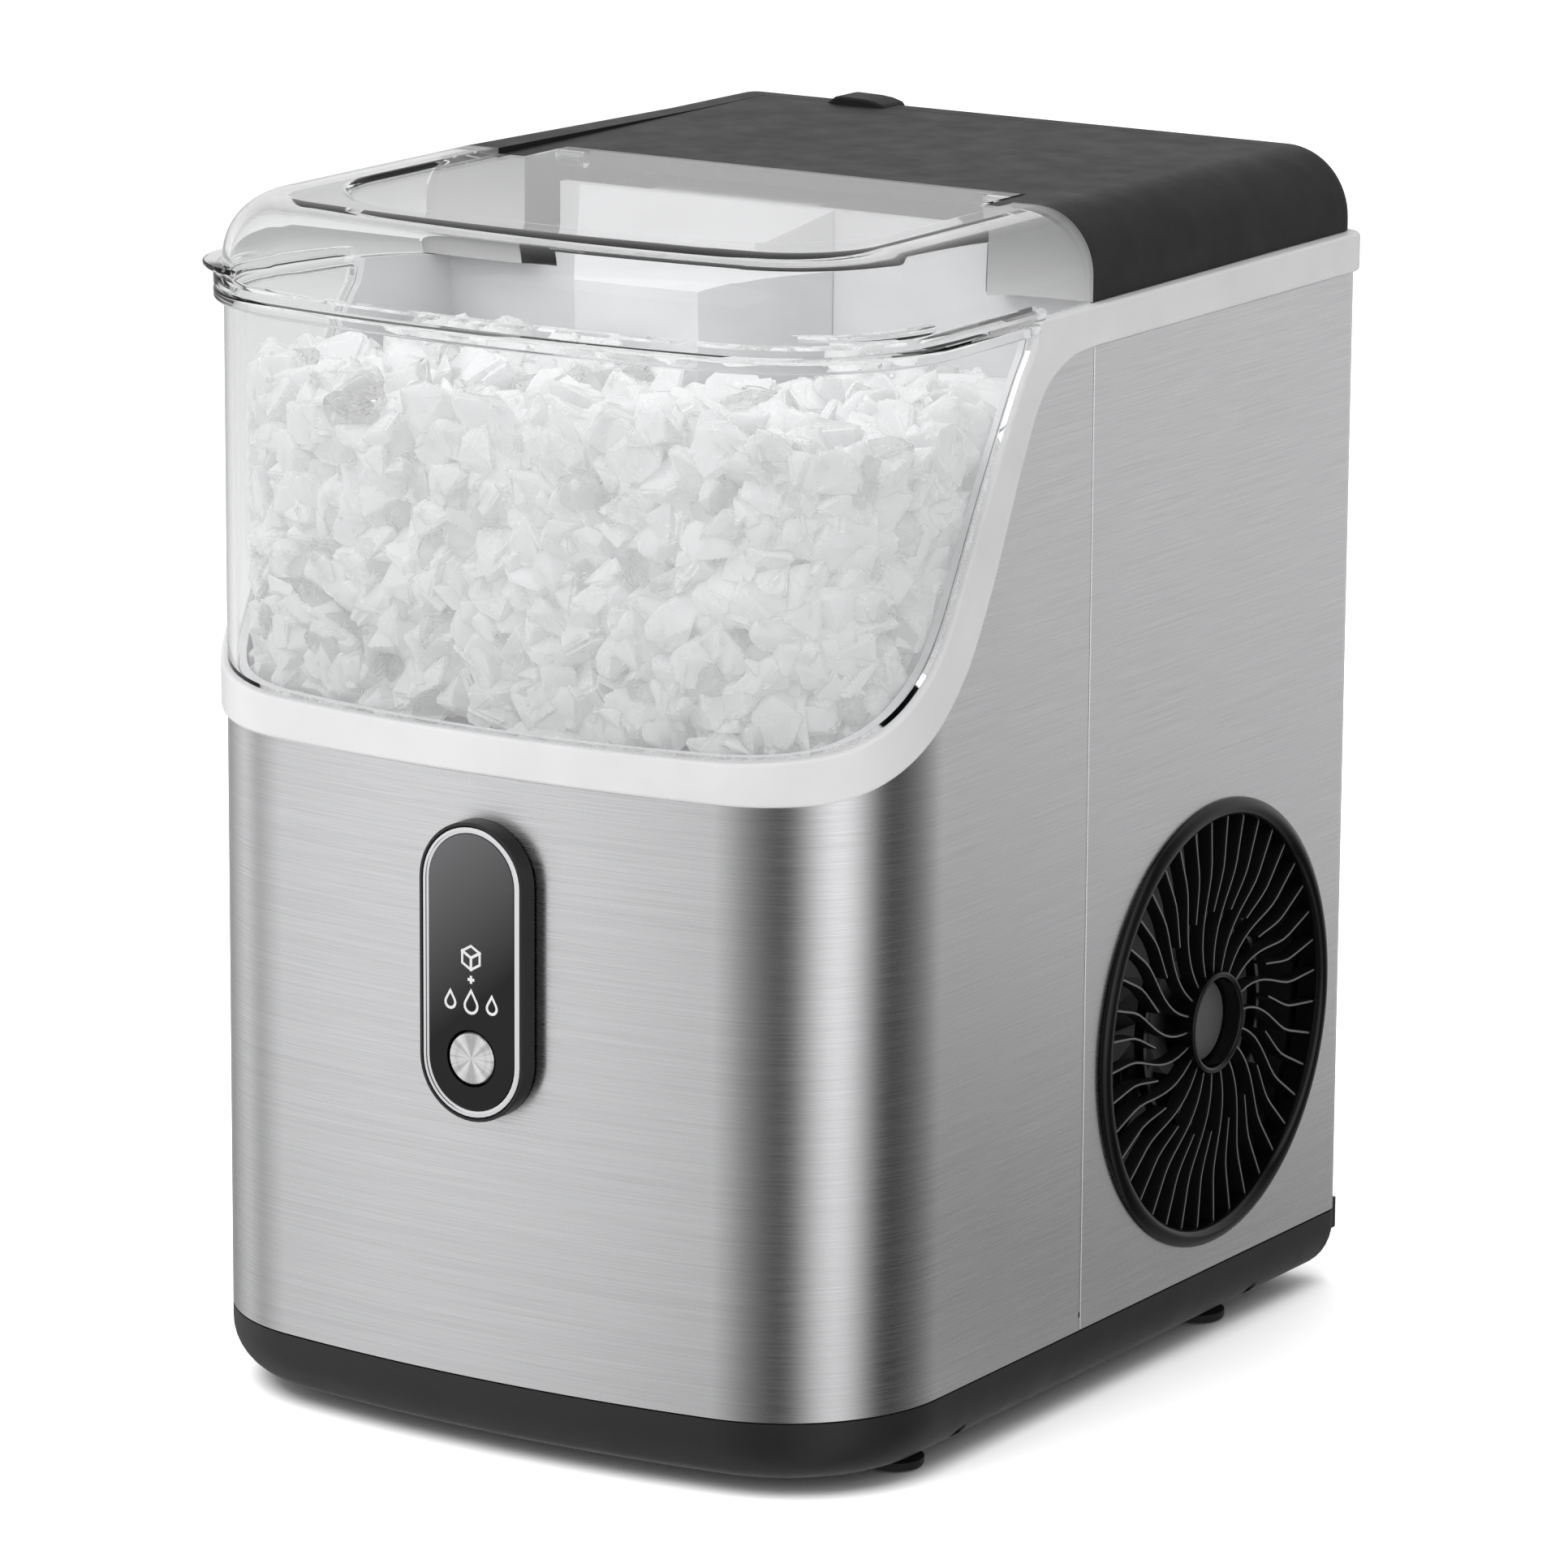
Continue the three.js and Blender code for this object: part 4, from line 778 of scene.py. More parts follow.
def make_lid():
    base = front_path(0, LID_HALF_WIDTH, LID_CORNER)
    flange = (base[:, 1] < TRIM_TOP_FRONT_Y).astype(float)
    tab = tab_share(base)

    def proud(reach, z, share):
        return blend_rings(lid_ring(0, z), lift(front_path(reach), z), share)

    underside = RECESS_FLOOR - LID_WALL
    rings = [lid_ring(LID_EDGE + 1, underside), lid_ring(LID_EDGE, underside)]
    inner = LID_EDGE - LID_WALL
    for inset, z in arc((LID_EDGE, underside - inner), inner, 100, 180, 10):
        rings.append(lid_ring(inset, z))
    rings.append(lid_ring(LID_WALL, LID_BOTTOM))
    rings += [
        proud(RIM_PROUD - 0.7, LID_BOTTOM, flange),
        proud(RIM_PROUD, LID_BOTTOM + 0.6, flange),
        proud(RIM_PROUD, LID_BOTTOM + 2.5, flange),
        proud(RIM_PROUD - 0.7, LID_BOTTOM + 3.2, flange),
        lid_ring(0, LID_BOTTOM + 3.4),
        lid_ring(0, LID_BOTTOM + 4.4),
        proud(5.5, LID_BOTTOM + 4.6, tab),
        proud(6, LID_BOTTOM + 5.1, tab),
        proud(6, LID_BOTTOM + 5.7, tab),
        proud(5.5, LID_BOTTOM + 6.1, tab),
        lid_ring(0, LID_BOTTOM + 6.3),
    ]
    for inset, z in arc((LID_EDGE, LID_TOP - LID_EDGE), LID_EDGE, 180, 90, 14):
        rings.append(lid_ring(inset, z))
    rings += [
        recess_ring(1.7, LID_TOP),
        recess_ring(1.2, LID_TOP),
        recess_ring(0.6, LID_TOP - 0.2),
        recess_ring(0.2, LID_TOP - 0.7),
        recess_ring(-0.1, RECESS_FLOOR + 0.3),
        recess_ring(-0.6, RECESS_FLOOR),
    ]

    n, m = len(rings), len(base)
    t = TONGUE_HALF_WIDTH
    corners = [(-t, JOINT_Y), (-t, TONGUE_REAR_Y), (t, TONGUE_REAR_Y), (t, JOINT_Y)]
    tongue = [(x, y, z) for z in (RECESS_FLOOR, underside) for x, y in corners]
    points = np.vstack([*rings, tongue])
    up, down = n * m, n * m + 4
    faces = [(i * m + j, i * m + j + 1, (i + 1) * m + j + 1, (i + 1) * m + j)
             for i in range(n - 1) for j in range(m - 1)]
    faces.append([(n - 1) * m + j for j in range(m)] + [up, up + 1, up + 2, up + 3])
    faces.append(list(range(m)) + [down, down + 1, down + 2, down + 3])
    faces.append([i * m for i in range(n)] + [up + 3, down + 3])
    faces.append([i * m + m - 1 for i in range(n)] + [up, down])
    faces += [(up + k, up + k + 1, down + k + 1, down + k) for k in range(3)]
    lid = make_object("lid", points, faces)

    lug_outline = [(HINGE_Y - 3.2, RECESS_FLOOR - 1), (HINGE_Y + 3.2, RECESS_FLOOR - 1)]
    lug_outline += arc((HINGE_Y, HINGE_Z), 3.2, 0, -180, 12)
    for side in (-1, 1):
        loops = [[(side * x, y, z) for y, z in lug_outline] for x in (67, t - 0.2)]
        unite(lid, loft("lug", loops))
        subtract(lid, rod(1.6, side * 71 - 6, side * 71 + 6, "x", (0, HINGE_Y, HINGE_Z), 24))
    material = clear_plastic("clear lid", 1.2, 0.2)
    piece(lid, "lid_shell", "clear_plastic", ["lid"], "lid", material, edge=28)


# ---- top cover ----
COVER_EDGE_ROUND = 5
REAR_HALF_WIDTH = 110
REAR_TOP = 337.3
REAR_CORNER = 20


def cover_section(y, half_width, top, radius, bottom):
    """The cover cut across at one y."""
    corner = arc((half_width - radius, top - radius), radius, 0, 90, 16)
    right = [(half_width, bottom), *corner]
    return [(x, y, z) for x, z in right + [(-x, z) for x, z in right[::-1]]]


def cover_solid(inset, front_y, bottom):
    """The cover's outer form, or the space inside it when inset: it narrows and falls to the rear."""
    sections = []
    for y, half_width, top, radius in ((front_y, 111, 339, 18), (95, REAR_HALF_WIDTH, 337.5, REAR_CORNER)):
        sections.append(cover_section(y, half_width - inset, top - inset, radius - inset, bottom))
    rear = REAR_Y - COVER_EDGE_ROUND
    for turn in np.radians(np.linspace(0, 84, 8)):
        pull = COVER_EDGE_ROUND * (1 - math.cos(turn)) + inset
        y = rear + (COVER_EDGE_ROUND - inset) * math.sin(turn)
        sections.append(cover_section(y, REAR_HALF_WIDTH - pull, REAR_TOP - pull, REAR_CORNER - pull, bottom))
    return loft("cover", sections)


def make_cover():
    notch = TONGUE_HALF_WIDTH + 0.5
    notch_y = TONGUE_REAR_Y + 1.7
    wall_thickness = 2.5
    ahead, below, above = -30, 300, 350  # cuts run past the cover's front, bottom and top
    cover = cover_solid(0, COVER_FRONT_Y, LID_BOTTOM)
    inside = cover_solid(wall_thickness, COVER_FRONT_Y + wall_thickness, LID_BOTTOM - 5)
    keep_x, keep_y = notch + wall_thickness, notch_y + wall_thickness
    subtract(inside, box((-keep_x, ahead, below), (keep_x, keep_y, above)))
    subtract(
        cover,
        inside,
        box((-notch, ahead, below), (notch, notch_y, above)),
        box((-RECESS_HALF_WIDTH, ahead, REAR_TOP), (RECESS_HALF_WIDTH, 130, above)),
        box((-70, 5, below), (70, 20, 330.5)),
        rod(1.6, -82, 82, "x", (0, HINGE_Y, HINGE_Z), 24),
    )
    soften(cover, 0.45, 2)
    tab_top = node_box("top_cover")[1][2]
    outline = [(-67, 334), (-62, 336.8), (-58.5, tab_top - 0.3), (-57, tab_top), (-48.5, tab_top - 0.2),
               (-45, tab_top - 0.6), (-41.5, 338), (-39, 334)]
    tab = loft("tab", [[(x, y, z) for x, z in outline] for y in (128, REAR_Y - 1.2)])
    cover = merge("cover", [cover, soften(tab, 0.8, 3, 25)])
    piece(cover, "top_cover_moulding", "black_plastic", ["top_cover"], material=cover_plastic())


# ---- base and feet ----
def tray(inset, bottom, top):
    edge = BASE_EDGE_RADIUS - inset
    rings = [lift(full_path(-inset), top)]
    for x, z in arc((0, bottom + edge), edge, 0, -90, 10):
        rings.append(lift(full_path(-inset - (edge - x)), z))
    return loft("tray", rings)


def make_base():
    base_top = CASING_BOTTOM - GAP
    base = tray(0, BASE_BOTTOM, base_top)
    tools = [tray(2.5, BASE_BOTTOM + 3, base_top + 2)]
    notch_radius, notch_z = 3, 6.5
    for y in (-68, 95):
        for x in (-110, 110):
            tools.append(rod(notch_radius, x - 8, x + 8, "x", (0, y, notch_z), 32))
    vent_pitch, vent_half = 9, 2
    for x in vent_pitch * np.arange(-3, 4):
        tools.append(box((x - vent_half, -40, 0), (x + vent_half, 10, 8)))
    subtract(base, *tools)
    lugs = [base]
    for side in (-1, 1):
        x = sorted((side * 104.5, side * 110))
        lug = box((x[0], 137, 15), (x[1], 143, base_top + 2.2))
        subtract(lug, box((x[0] - 1, 130, base_top), (x[1] + 1, REAR_Y + GAP, base_top + 5)))
        lugs.append(lug)
    piece(soften(merge("base", lugs), 0.5, 2), "base_tray_moulding", "black_plastic", ["base_tray"])


def make_feet():
    profile = [(0, 0), (7.2, 0), (8.1, 0.35), (8.5, 1), (8.5, 2.7), (0, 2.7)]
    for foot in ("front_left", "front_right", "rear_left", "rear_right"):
        x, y, _ = sum(node_box(f"foot_{foot}")) / 2
        piece(turned("foot", profile, "z", (x, y, 0)), f"foot_{foot}_pad", "rubber", [f"foot_{foot}"])


# ---- control panel ----
panel_face_y = PANEL_LOW[1]
button_z = (BUTTON_LOW[2] + BUTTON_HIGH[2]) / 2
FACE_Y = panel_face_y + 0.2  # the gloss face, which lies a little behind the housing's rim
WELL_RADIUS = 8


def make_panel():
    y = panel_face_y
    housing = pill_solid("housing", [
        (16, y + 1.6), (16, y + 0.3), (16.15, y), (16.5, y), (16.85, y + 0.15), (17, y + 0.5),
        (17, y + 5.7), (14.2, y + 5.7), (14.2, y + 15),
    ])
    well = [(0, y - 3), (WELL_RADIUS, y - 3), (WELL_RADIUS, y + 5.1), (3.5, y + 5.1), (3.5, y + 9.8),
            (6.5, y + 9.8), (6.5, y + 17), (0, y + 17)]
    subtract(housing, turned("well", well, "y", (0, 0, button_z)))
    piece(housing, "panel_housing", "black_plastic", ["control_panel_housing"])
    ring_profile = [(13.95, 1.3), (13.95, 0.55), (14.05, 0.45), (14.75, 0.4), (14.85, 0.1), (15.6, 0.1),
                    (15.75, 0.25), (15.75, 1.3)]
    ring = loft("ring", [pill(r, y + d) for r, d in ring_profile], closed=True)
    piece(ring, "panel_ring_bright", "chrome", ["panel_ring"])
    face = pill_solid("face", [(13.8, y + 1.3), (13.8, y + 0.35), (13.65, FACE_Y)])
    subtract(face, rod(WELL_RADIUS, y - 3, y + 8, "y", (0, 0, button_z), 96))
    piece(face, "panel_face_gloss", "gloss_black", ["panel_face"], material=panel_gloss())


def make_button():
    y = panel_face_y
    radius = (BUTTON_HIGH[0] - BUTTON_LOW[0]) / 2
    profile = [(0, y + 0.25), (4, y + 0.2), (radius - 0.9, y), (radius - 0.3, y + 0.12), (radius, y + 0.5),
               (radius, y + 3.5), (3, y + 3.5), (3, y + 9), (0, y + 9)]
    finish = spun_steel("spun steel", (0, 0, button_z * MM), "Y")
    button = turned("button", profile, "y", (0, 0, button_z), 128)
    piece(button, "power_button_cap", "steel", ["power_button"], "button", finish)


# The printed marks are plain pictures: a block of ice, a plus and three water drops.
PRINT_LINE = 0.8
PRINT_DEPTH = 0.05


def stroke(a, b):
    """A printed line between two (x, z) points on the panel's face."""
    a, b = Vector(a), Vector(b)
    along = (b - a).normalized() * PRINT_LINE / 2
    across = Vector((-along.y, along.x))
    corners = [a - along - across, b + along - across, b + along + across, a - along + across]
    depths = (FACE_Y - PRINT_DEPTH, FACE_Y + PRINT_DEPTH)
    return loft("stroke", [[(c.x, y, c.y) for c in corners] for y in depths])


def outline_mark(points, centre):
    """A printed line along a closed outline round a centre, as one flat ring."""
    centre = np.array(centre)
    arms = np.array(points) - centre
    half = PRINT_LINE / 2 / np.linalg.norm(arms, axis=1).mean()
    front, back = FACE_Y - PRINT_DEPTH, FACE_Y + PRINT_DEPTH
    loops = []
    for share, y in ((1 + half, front), (1 - half, front), (1 - half, back), (1 + half, back)):
        loops.append([(x, y, z) for x, z in centre + arms * share])
    return loft("outline", loops, closed=True)


def make_print():
    cube_z, plus_z, drop_z = button_z + 28.2, button_z + 22.1, button_z + 15.6
    size, arm, drop_spacing = 3.3, 0.7, 6.8
    corners = [(size * math.cos(a), cube_z + size * math.sin(a)) for a in np.radians(range(30, 390, 60))]
    edges = [stroke((0, cube_z), corners[i]) for i in (0, 2, 4)]
    marks = [unite(outline_mark(corners, (0, cube_z)), *edges)]
    level, upright = stroke((-arm, plus_z), (arm, plus_z)), stroke((0, plus_z - arm), (0, plus_z + arm))
    marks.append(unite(level, upright))
    for x, scale in ((-drop_spacing, 0.85), (0, 1.1), (drop_spacing, 0.85)):
        bowl = [(x + 1.9 * scale * math.cos(a), drop_z + scale * (1.9 * math.sin(a) - 0.7))
                for a in np.radians(range(-210, 31, 24))]
        marks.append(outline_mark([*bowl, (x, drop_z + 3.1 * scale)], (x, drop_z - 0.5 * scale)))
    ink = moulded("printed ink", (0.85, 0.85, 0.85), 0.5, 2000, 0.005).material
    piece(merge("marks", marks), "panel_marks", "white_plastic", material=ink)


# ---- fan grille ----
RIM_OUTER = (GRILLE_HIGH[2] - GRILLE_LOW[2]) / 2
MOUTH = 59.6
HUB = 14.8
RIBS = 20
SUPPORT = 32.5
RIB_SWEEP = 15.5


def rib(turn, start, end, steps=14):
    """One grille rib: a bar with a rounded front edge, swept out along an S."""
    sections = []
    for radius in np.linspace(start, end, steps + 1):
        s = min(max((radius - 17) / 30, 0), 1)
        a = turn - math.radians(RIB_SWEEP * s * s * (3 - 2 * s))
        centre = np.array((radius * math.cos(a), radius * math.sin(a)))
        across = np.array((-math.sin(a), math.cos(a)))
        half = 0.55 + 0.1 * (radius - start) / (end - start)
        shape = [(-half, 108), (half, 108), (half * 0.9, 111.6), (half * 0.45, 112.2),
                 (-half * 0.45, 112.2), (-half * 0.9, 111.6)]
        sections.append([(x, *(centre + across * w + fan_centre[1:])) for w, x in shape])
    return loft("rib", sections)


def make_grille():
    centre = fan_centre * (0, 1, 1)
    rim = turned("rim", [
        (MOUTH, 107), (62 - GAP, 107), (62 - GAP, HALF_WIDTH + 0.1), (RIM_OUTER, HALF_WIDTH + 0.1),
        (RIM_OUTER, 113.2), (RIM_OUTER - 0.5, 114), (RIM_OUTER - 1.6, 114.7), (62.4, 115), (61.2, 114.8),
        (60.2, 114), (MOUTH, 112.4),
    ], "x", centre, 160)
    hub = turned("hub", [
        (0, 105), (HUB, 105), (HUB, 113.6), (HUB - 0.25, 114.1), (HUB - 0.8, 114.3), (HUB - 1.6, 114.1),
        (HUB - 2, 113.4), (HUB - 2.4, 107), (0, 107),
    ], "x", centre, 96)
    support = turned("support", [
        (SUPPORT - 0.8, 105.5), (SUPPORT + 0.8, 105.5), (SUPPORT + 0.8, 108.6), (SUPPORT - 0.8, 108.6),
    ], "x", centre, 96)
    ribs = []
    for i in range(RIBS):
        turn = 2 * math.pi * i / RIBS
        ribs.append(rib(turn, HUB - 1, MOUTH + 0.8))
        ribs.append(rib(turn + math.pi / RIBS, SUPPORT, MOUTH + 0.8, 9))
    black = moulded("grille plastic", (0.003, 0.003, 0.003), 0.24, Specular_IOR_Level=0.4).material
    frame_parts = merge("grille", [rim, hub, support])
    piece(frame_parts, "fan_grille_frame", "black_plastic", ["fan_grille"], material=black, edge=50)
    piece(merge("ribs", ribs), "fan_grille_ribs", "black_plastic", ["fan_grille"], material=rib_plastic())
    plate = turned("plate", [(0, 107.3), (11.8, 107.3), (11.8, 108.6), (11.4, 109), (0, 109)], "x", centre)
    piece(plate, "grille_centre_disc", "grey_plastic", ["grille_centre_plate"])


# ---- ice ----
def nugget_shapes(count):
    """Convex chips with a few flat faces each, as (points, faces) of about unit radius."""
    shapes = []
    for _ in range(count):
        b = bmesh.new()
        stretch = rng.uniform(0.78, 1.18, 3)
        for p in rng.normal(size=(11, 3)):
            b.verts.new(p / np.linalg.norm(p) * stretch * rng.uniform(0.8, 1.08))
        hull = bmesh.ops.convex_hull(b, input=b.verts)
        loose = [v for v in hull["geom_interior"] if isinstance(v, bmesh.types.BMVert)]
        bmesh.ops.delete(b, geom=loose, context="VERTS")
        bmesh.ops.bevel(b, geom=b.edges, offset=0.22, segments=2, affect="EDGES", clamp_overlap=True)
        bmesh.ops.triangulate(b, faces=b.faces)
        b.verts.index_update()
        points = np.array([v.co for v in b.verts])
        shapes.append((points, np.array([[v.index for v in f.verts] for f in b.faces])))
        b.free()
    return shapes


def random_turn():
    q = rng.normal(size=4)
    w, x, y, z = q / np.linalg.norm(q)
    return np.array([
        [1 - 2 * (y * y + z * z), 2 * (x * y - z * w), 2 * (x * z + y * w)],
        [2 * (x * y + z * w), 1 - 2 * (x * x + z * z), 2 * (y * z - x * w)],
        [2 * (x * z - y * w), 2 * (y * z + x * w), 1 - 2 * (x * x + y * y)],
    ])


def zones(points):
    """The bow's and the corners' centres, and which plan points belong to the corners."""
    bow_y = BOW_APEX_Y + BOW_RADIUS
    corner_x = HALF_WIDTH - CORNER_RADIUS
    corner_y = bow_y - math.sqrt((BOW_RADIUS - CORNER_RADIUS) ** 2 - corner_x**2)
    corner = np.stack((np.sign(points[:, 0]) * corner_x, np.full(len(points), corner_y)), axis=1)
    in_corner = (np.abs(points[:, 0]) > corner_x) & (points[:, 1] < corner_y)
    return np.array((0, bow_y)), corner, in_corner


def press_inside(points, clearance):
    """Moves points that lie too near the casing's outline in to that clearance from it."""
    out = points.copy()
    limit = HALF_WIDTH - clearance
    out[:, 0] = np.clip(out[:, 0], -limit, limit)
    bow, corner, in_corner = zones(out)
    for centre, radius, chosen in ((bow, BOW_RADIUS, ~in_corner), (corner, CORNER_RADIUS, in_corner)):
        arm = out[:, :2] - centre
        reach = np.hypot(*arm.T)
        pull = np.where(chosen, np.minimum((radius - clearance) / reach, 1), 1)
        out[:, :2] = centre + arm * pull[:, None]
    return out


ICE_CLEARANCE = 6.0  # from the casing's outer face, so that the heap rests against the window and liner


def make_ice():
    spacing = 9.4
    shell = 34  # only this much of the heap behind the window is made of separate nuggets
    clear_share = 0.14
    room = 6  # kept free round the chute
    scatter = 0.42
    chute_low, chute_high = node_box("ice_chute")
    shapes = nugget_shapes(40)
    heaps = {"cloudy": ([], []), "clear": ([], [])}
    for z in np.arange(ICE_LOW[2] + 4, ICE_HIGH[2] + 2, spacing * 0.8):
        for x in np.arange(ICE_LOW[0], ICE_HIGH[0] + spacing, spacing):
            for y in np.arange(ICE_LOW[1], ICE_HIGH[1], spacing):
                centre = np.array((x, y, z)) + rng.uniform(-scatter, scatter, 3) * spacing
                size = rng.uniform(7.4, 11)
                shape, face_list = shapes[rng.integers(len(shapes))]
                turned_shape = shape * size @ random_turn().T
                kind = "clear" if rng.random() < clear_share else "cloudy"
                edge = press_inside(centre[None], ICE_CLEARANCE)[0]
                inner = press_inside(centre[None], shell)[0]
                outside = np.hypot(*(edge - centre)[:2]) > size * 0.5
                deep = np.hypot(*(inner - centre)[:2]) == 0 and centre[2] < ICE_HIGH[2] - 24
                waves = 4 * math.sin(centre[0] * 0.05) * math.cos(centre[1] * 0.06)
                heap_top = ICE_HIGH[2] - size * 0.8 + waves
                in_chute = centre[0] < chute_high[0] + room and np.all(centre > chute_low - room)
                if outside or deep or in_chute or centre[1] > -9 or centre[2] > heap_top:
                    continue
                whole = press_inside(centre[None], ICE_CLEARANCE + size * 0.62)
                placed = press_inside(turned_shape + whole, ICE_CLEARANCE)
                placed[:, 1] = np.minimum(placed[:, 1], ICE_HIGH[1])
                placed[:, 2] = np.clip(placed[:, 2], ICE_LOW[2], ICE_HIGH[2])
                points, faces = heaps[kind]
                faces.append(face_list + sum(len(p) for p in points))
                points.append(placed)
    clear_ice = nugget_ice("clear ice", (0.95, 0.95, 0.95), 0.9, 0.06, 0.04)
    for kind, (points, faces) in heaps.items():
        ice = make_object(kind, np.vstack(points), np.vstack(faces))
        material = clear_ice if kind == "clear" else None
        piece(ice, f"ice_nuggets_{kind}", "ice", ["ice_pile"], material=material, edge=50)


# ---- carried-over CAD nodes ----
def finish_cad_nodes():
    """Gives each shown CAD node its procedural material and softened edges."""
    slots = {part["node"]: part["material_slot"] for part in frame["record"]["subparts"]}
    for name, obj in frame["nodes"].items():
        if obj.hide_render:
            continue
        obj.data.materials.clear()
        obj.data.materials.append(MATERIALS[slots[name]])
        bevel = obj.modifiers.new("soft edges", "BEVEL")
        bevel.width = 0.35 * MM
        bevel.segments = 2
        bevel.limit_method = "ANGLE"
        bevel.angle_limit = math.radians(42)


make_front_wrap()
make_side_panels()
make_rear_screws()
make_trim()
make_window()
make_liner()
make_lid()
make_cover()
make_base()
make_feet()
make_panel()
make_button()
make_print()
make_grille()
make_ice()
finish_cad_nodes()


# ---- stage ----
# What polished and brushed surfaces reflect, as (direction round the object in degrees, brightness).
# 0 is in front of the object and 90 is on its right.
STUDIO_RING = [
    (-180, 0.45), (-160, 0.7), (-140, 0.72), (-124, 0.33), (-108, 0.55), (-92, 0.82), (-76, 0.46),
    (-60, 0.74), (-45, 0.9), (-30, 0.86), (-17, 0.72), (-5, 0.52), (3, 0.35), (11, 0.24), (19, 0.15),
    (28, 0.09), (36, 0.19), (44, 0.47), (52, 0.86), (62, 1.2), (70, 1.2), (78, 0.9), (86, 0.5),
    (94, 0.17), (102, 0.08), (112, 0.12), (125, 0.24), (136, 0.42), (149, 0.66), (180, 0.66),
]
SHADED_SIDE = (0.98, 0.17, 0)  # the studio gives less soft light from the right
SHADED_BY = 0.55
BACKDROP = 1.05  # brightness, as are the next lights
BACKDROP_EDGE = 0.08  # how high the backdrop reaches, as the sine of the view's slope
BACKDROP_FADE = 0.2
THROUGH_PLASTIC = 0.9
STUDIO_DIM = 0.62
INDOOR_LIGHT = 1.12
CAUGHT_SHARE = 0.75


def fill_ramp(ramp, stops, blue=1):
    """Sets a colour ramp to grey (position, level) stops, or faintly blue ones."""
    for i, (at, level) in enumerate(stops):
        stop = ramp.elements[i] if i < 2 else ramp.elements.new(at)
        stop.position = at
        stop.color = (level, level, level * blue, 1)


def make_world():
    world = bpy.data.worlds.new("studio")
    bpy.context.scene.world = world
    world.use_nodes = True
    # One light for every kind of ray would wash the steel out, so rays that bounce look it up instead.
    world.cycles.sampling_method = "NONE"
    nodes, links = world.node_tree.nodes, world.node_tree.links

    def feed(node, values):
        """Links or sets a node's sockets, by their place."""
        for place, value in values.items():
            if isinstance(value, bpy.types.NodeSocket):
                links.new(value, node.inputs[place])
            else:
                node.inputs[place].default_value = value

    def math_node(operation, *values):
        made = nodes.new("ShaderNodeMath")
        made.operation = operation
        feed(made, dict(enumerate(values)))
        return made.outputs[0]

    def mixed(share, a, b, kind="FLOAT"):
        """a where the share is 0 and b where it is 1."""
        made = nodes.new("ShaderNodeMix")
        made.data_type = kind
        first, result = {"FLOAT": (2, 0), "RGBA": (6, 2)}[kind]
        feed(made, {0: share, first: a, first + 1: b})
        return made.outputs[result]

    direction = nodes.new("ShaderNodeTexCoord").outputs["Generated"]
    split = nodes.new("ShaderNodeSeparateXYZ")
    links.new(direction, split.inputs[0])
    toward_front = math_node("MULTIPLY", split.outputs["Y"], -1)
    angle = math_node("ARCTAN2", split.outputs["X"], toward_front)
    ring = nodes.new("ShaderNodeValToRGB")
    fill_ramp(ring.color_ramp, [(degrees / 360 + 0.5, level) for degrees, level in STUDIO_RING], 1.01)
    links.new(math_node("ADD", math_node("DIVIDE", angle, 2 * math.pi), 0.5), ring.inputs["Fac"])

    facing = nodes.new("ShaderNodeVectorMath")
    facing.operation = "DOT_PRODUCT"
    facing.inputs[1].default_value = SHADED_SIDE
    links.new(direction, facing.inputs[0])
    toward_shade = math_node("MAXIMUM", facing.outputs["Value"], 0)
    soft = math_node("SUBTRACT", 1, math_node("MULTIPLY", toward_shade, SHADED_BY))

    path = nodes.new("ShaderNodeLightPath").outputs
    bounced = mixed(path["Is Glossy Ray"], soft, ring.outputs["Color"], "RGBA")
    # Light caught inside clear plastic comes from all round, so its edges don't mirror the dark gaps.
    inside = math_node("MINIMUM", path["Transmission Depth"], 1)
    through = math_node("MAXIMUM", path["Is Transmission Ray"], math_node("MULTIPLY", inside, CAUGHT_SHARE))
    straight = math_node("MAXIMUM", path["Is Camera Ray"], through)
    # Above the backdrop the studio is dim, so edges of clear plastic that bend the view up look darker.
    height = nodes.new("ShaderNodeMapRange")
    range_ends = (BACKDROP_EDGE, BACKDROP_EDGE + BACKDROP_FADE, THROUGH_PLASTIC, STUDIO_DIM)
    feed(height, dict(enumerate((split.outputs["Z"], *range_ends))))
    # What is lit through clear plastic gets back the light that its two faces take.
    lit_inside = math_node("MINIMUM", path["Diffuse Depth"], 1)
    indoors = mixed(lit_inside, height.outputs["Result"], INDOOR_LIGHT)
    seen = mixed(path["Is Camera Ray"], indoors, BACKDROP)
    links.new(mixed(straight, bounced, seen, "RGBA"), nodes["Background"].inputs["Color"])


def area_light(name, place, target, size, power):
    light = bpy.data.lights.new(name, "AREA")
    light.shape = "RECTANGLE"
    light.size, light.size_y = size
    light.energy = power
    obj = bpy.data.objects.new(name, light)
    obj.location = place
    obj.rotation_euler = (Vector(target) - Vector(place)).to_track_quat("-Z", "Y").to_euler()
    bpy.context.scene.collection.objects.link(obj)
    return obj


def stage_plane(name, z):
    half = 9000
    corners = [(-half, -half, z), (half, -half, z), (half, half, z), (-half, half, z)]
    return make_object(name, corners, [(0, 1, 2, 3)])


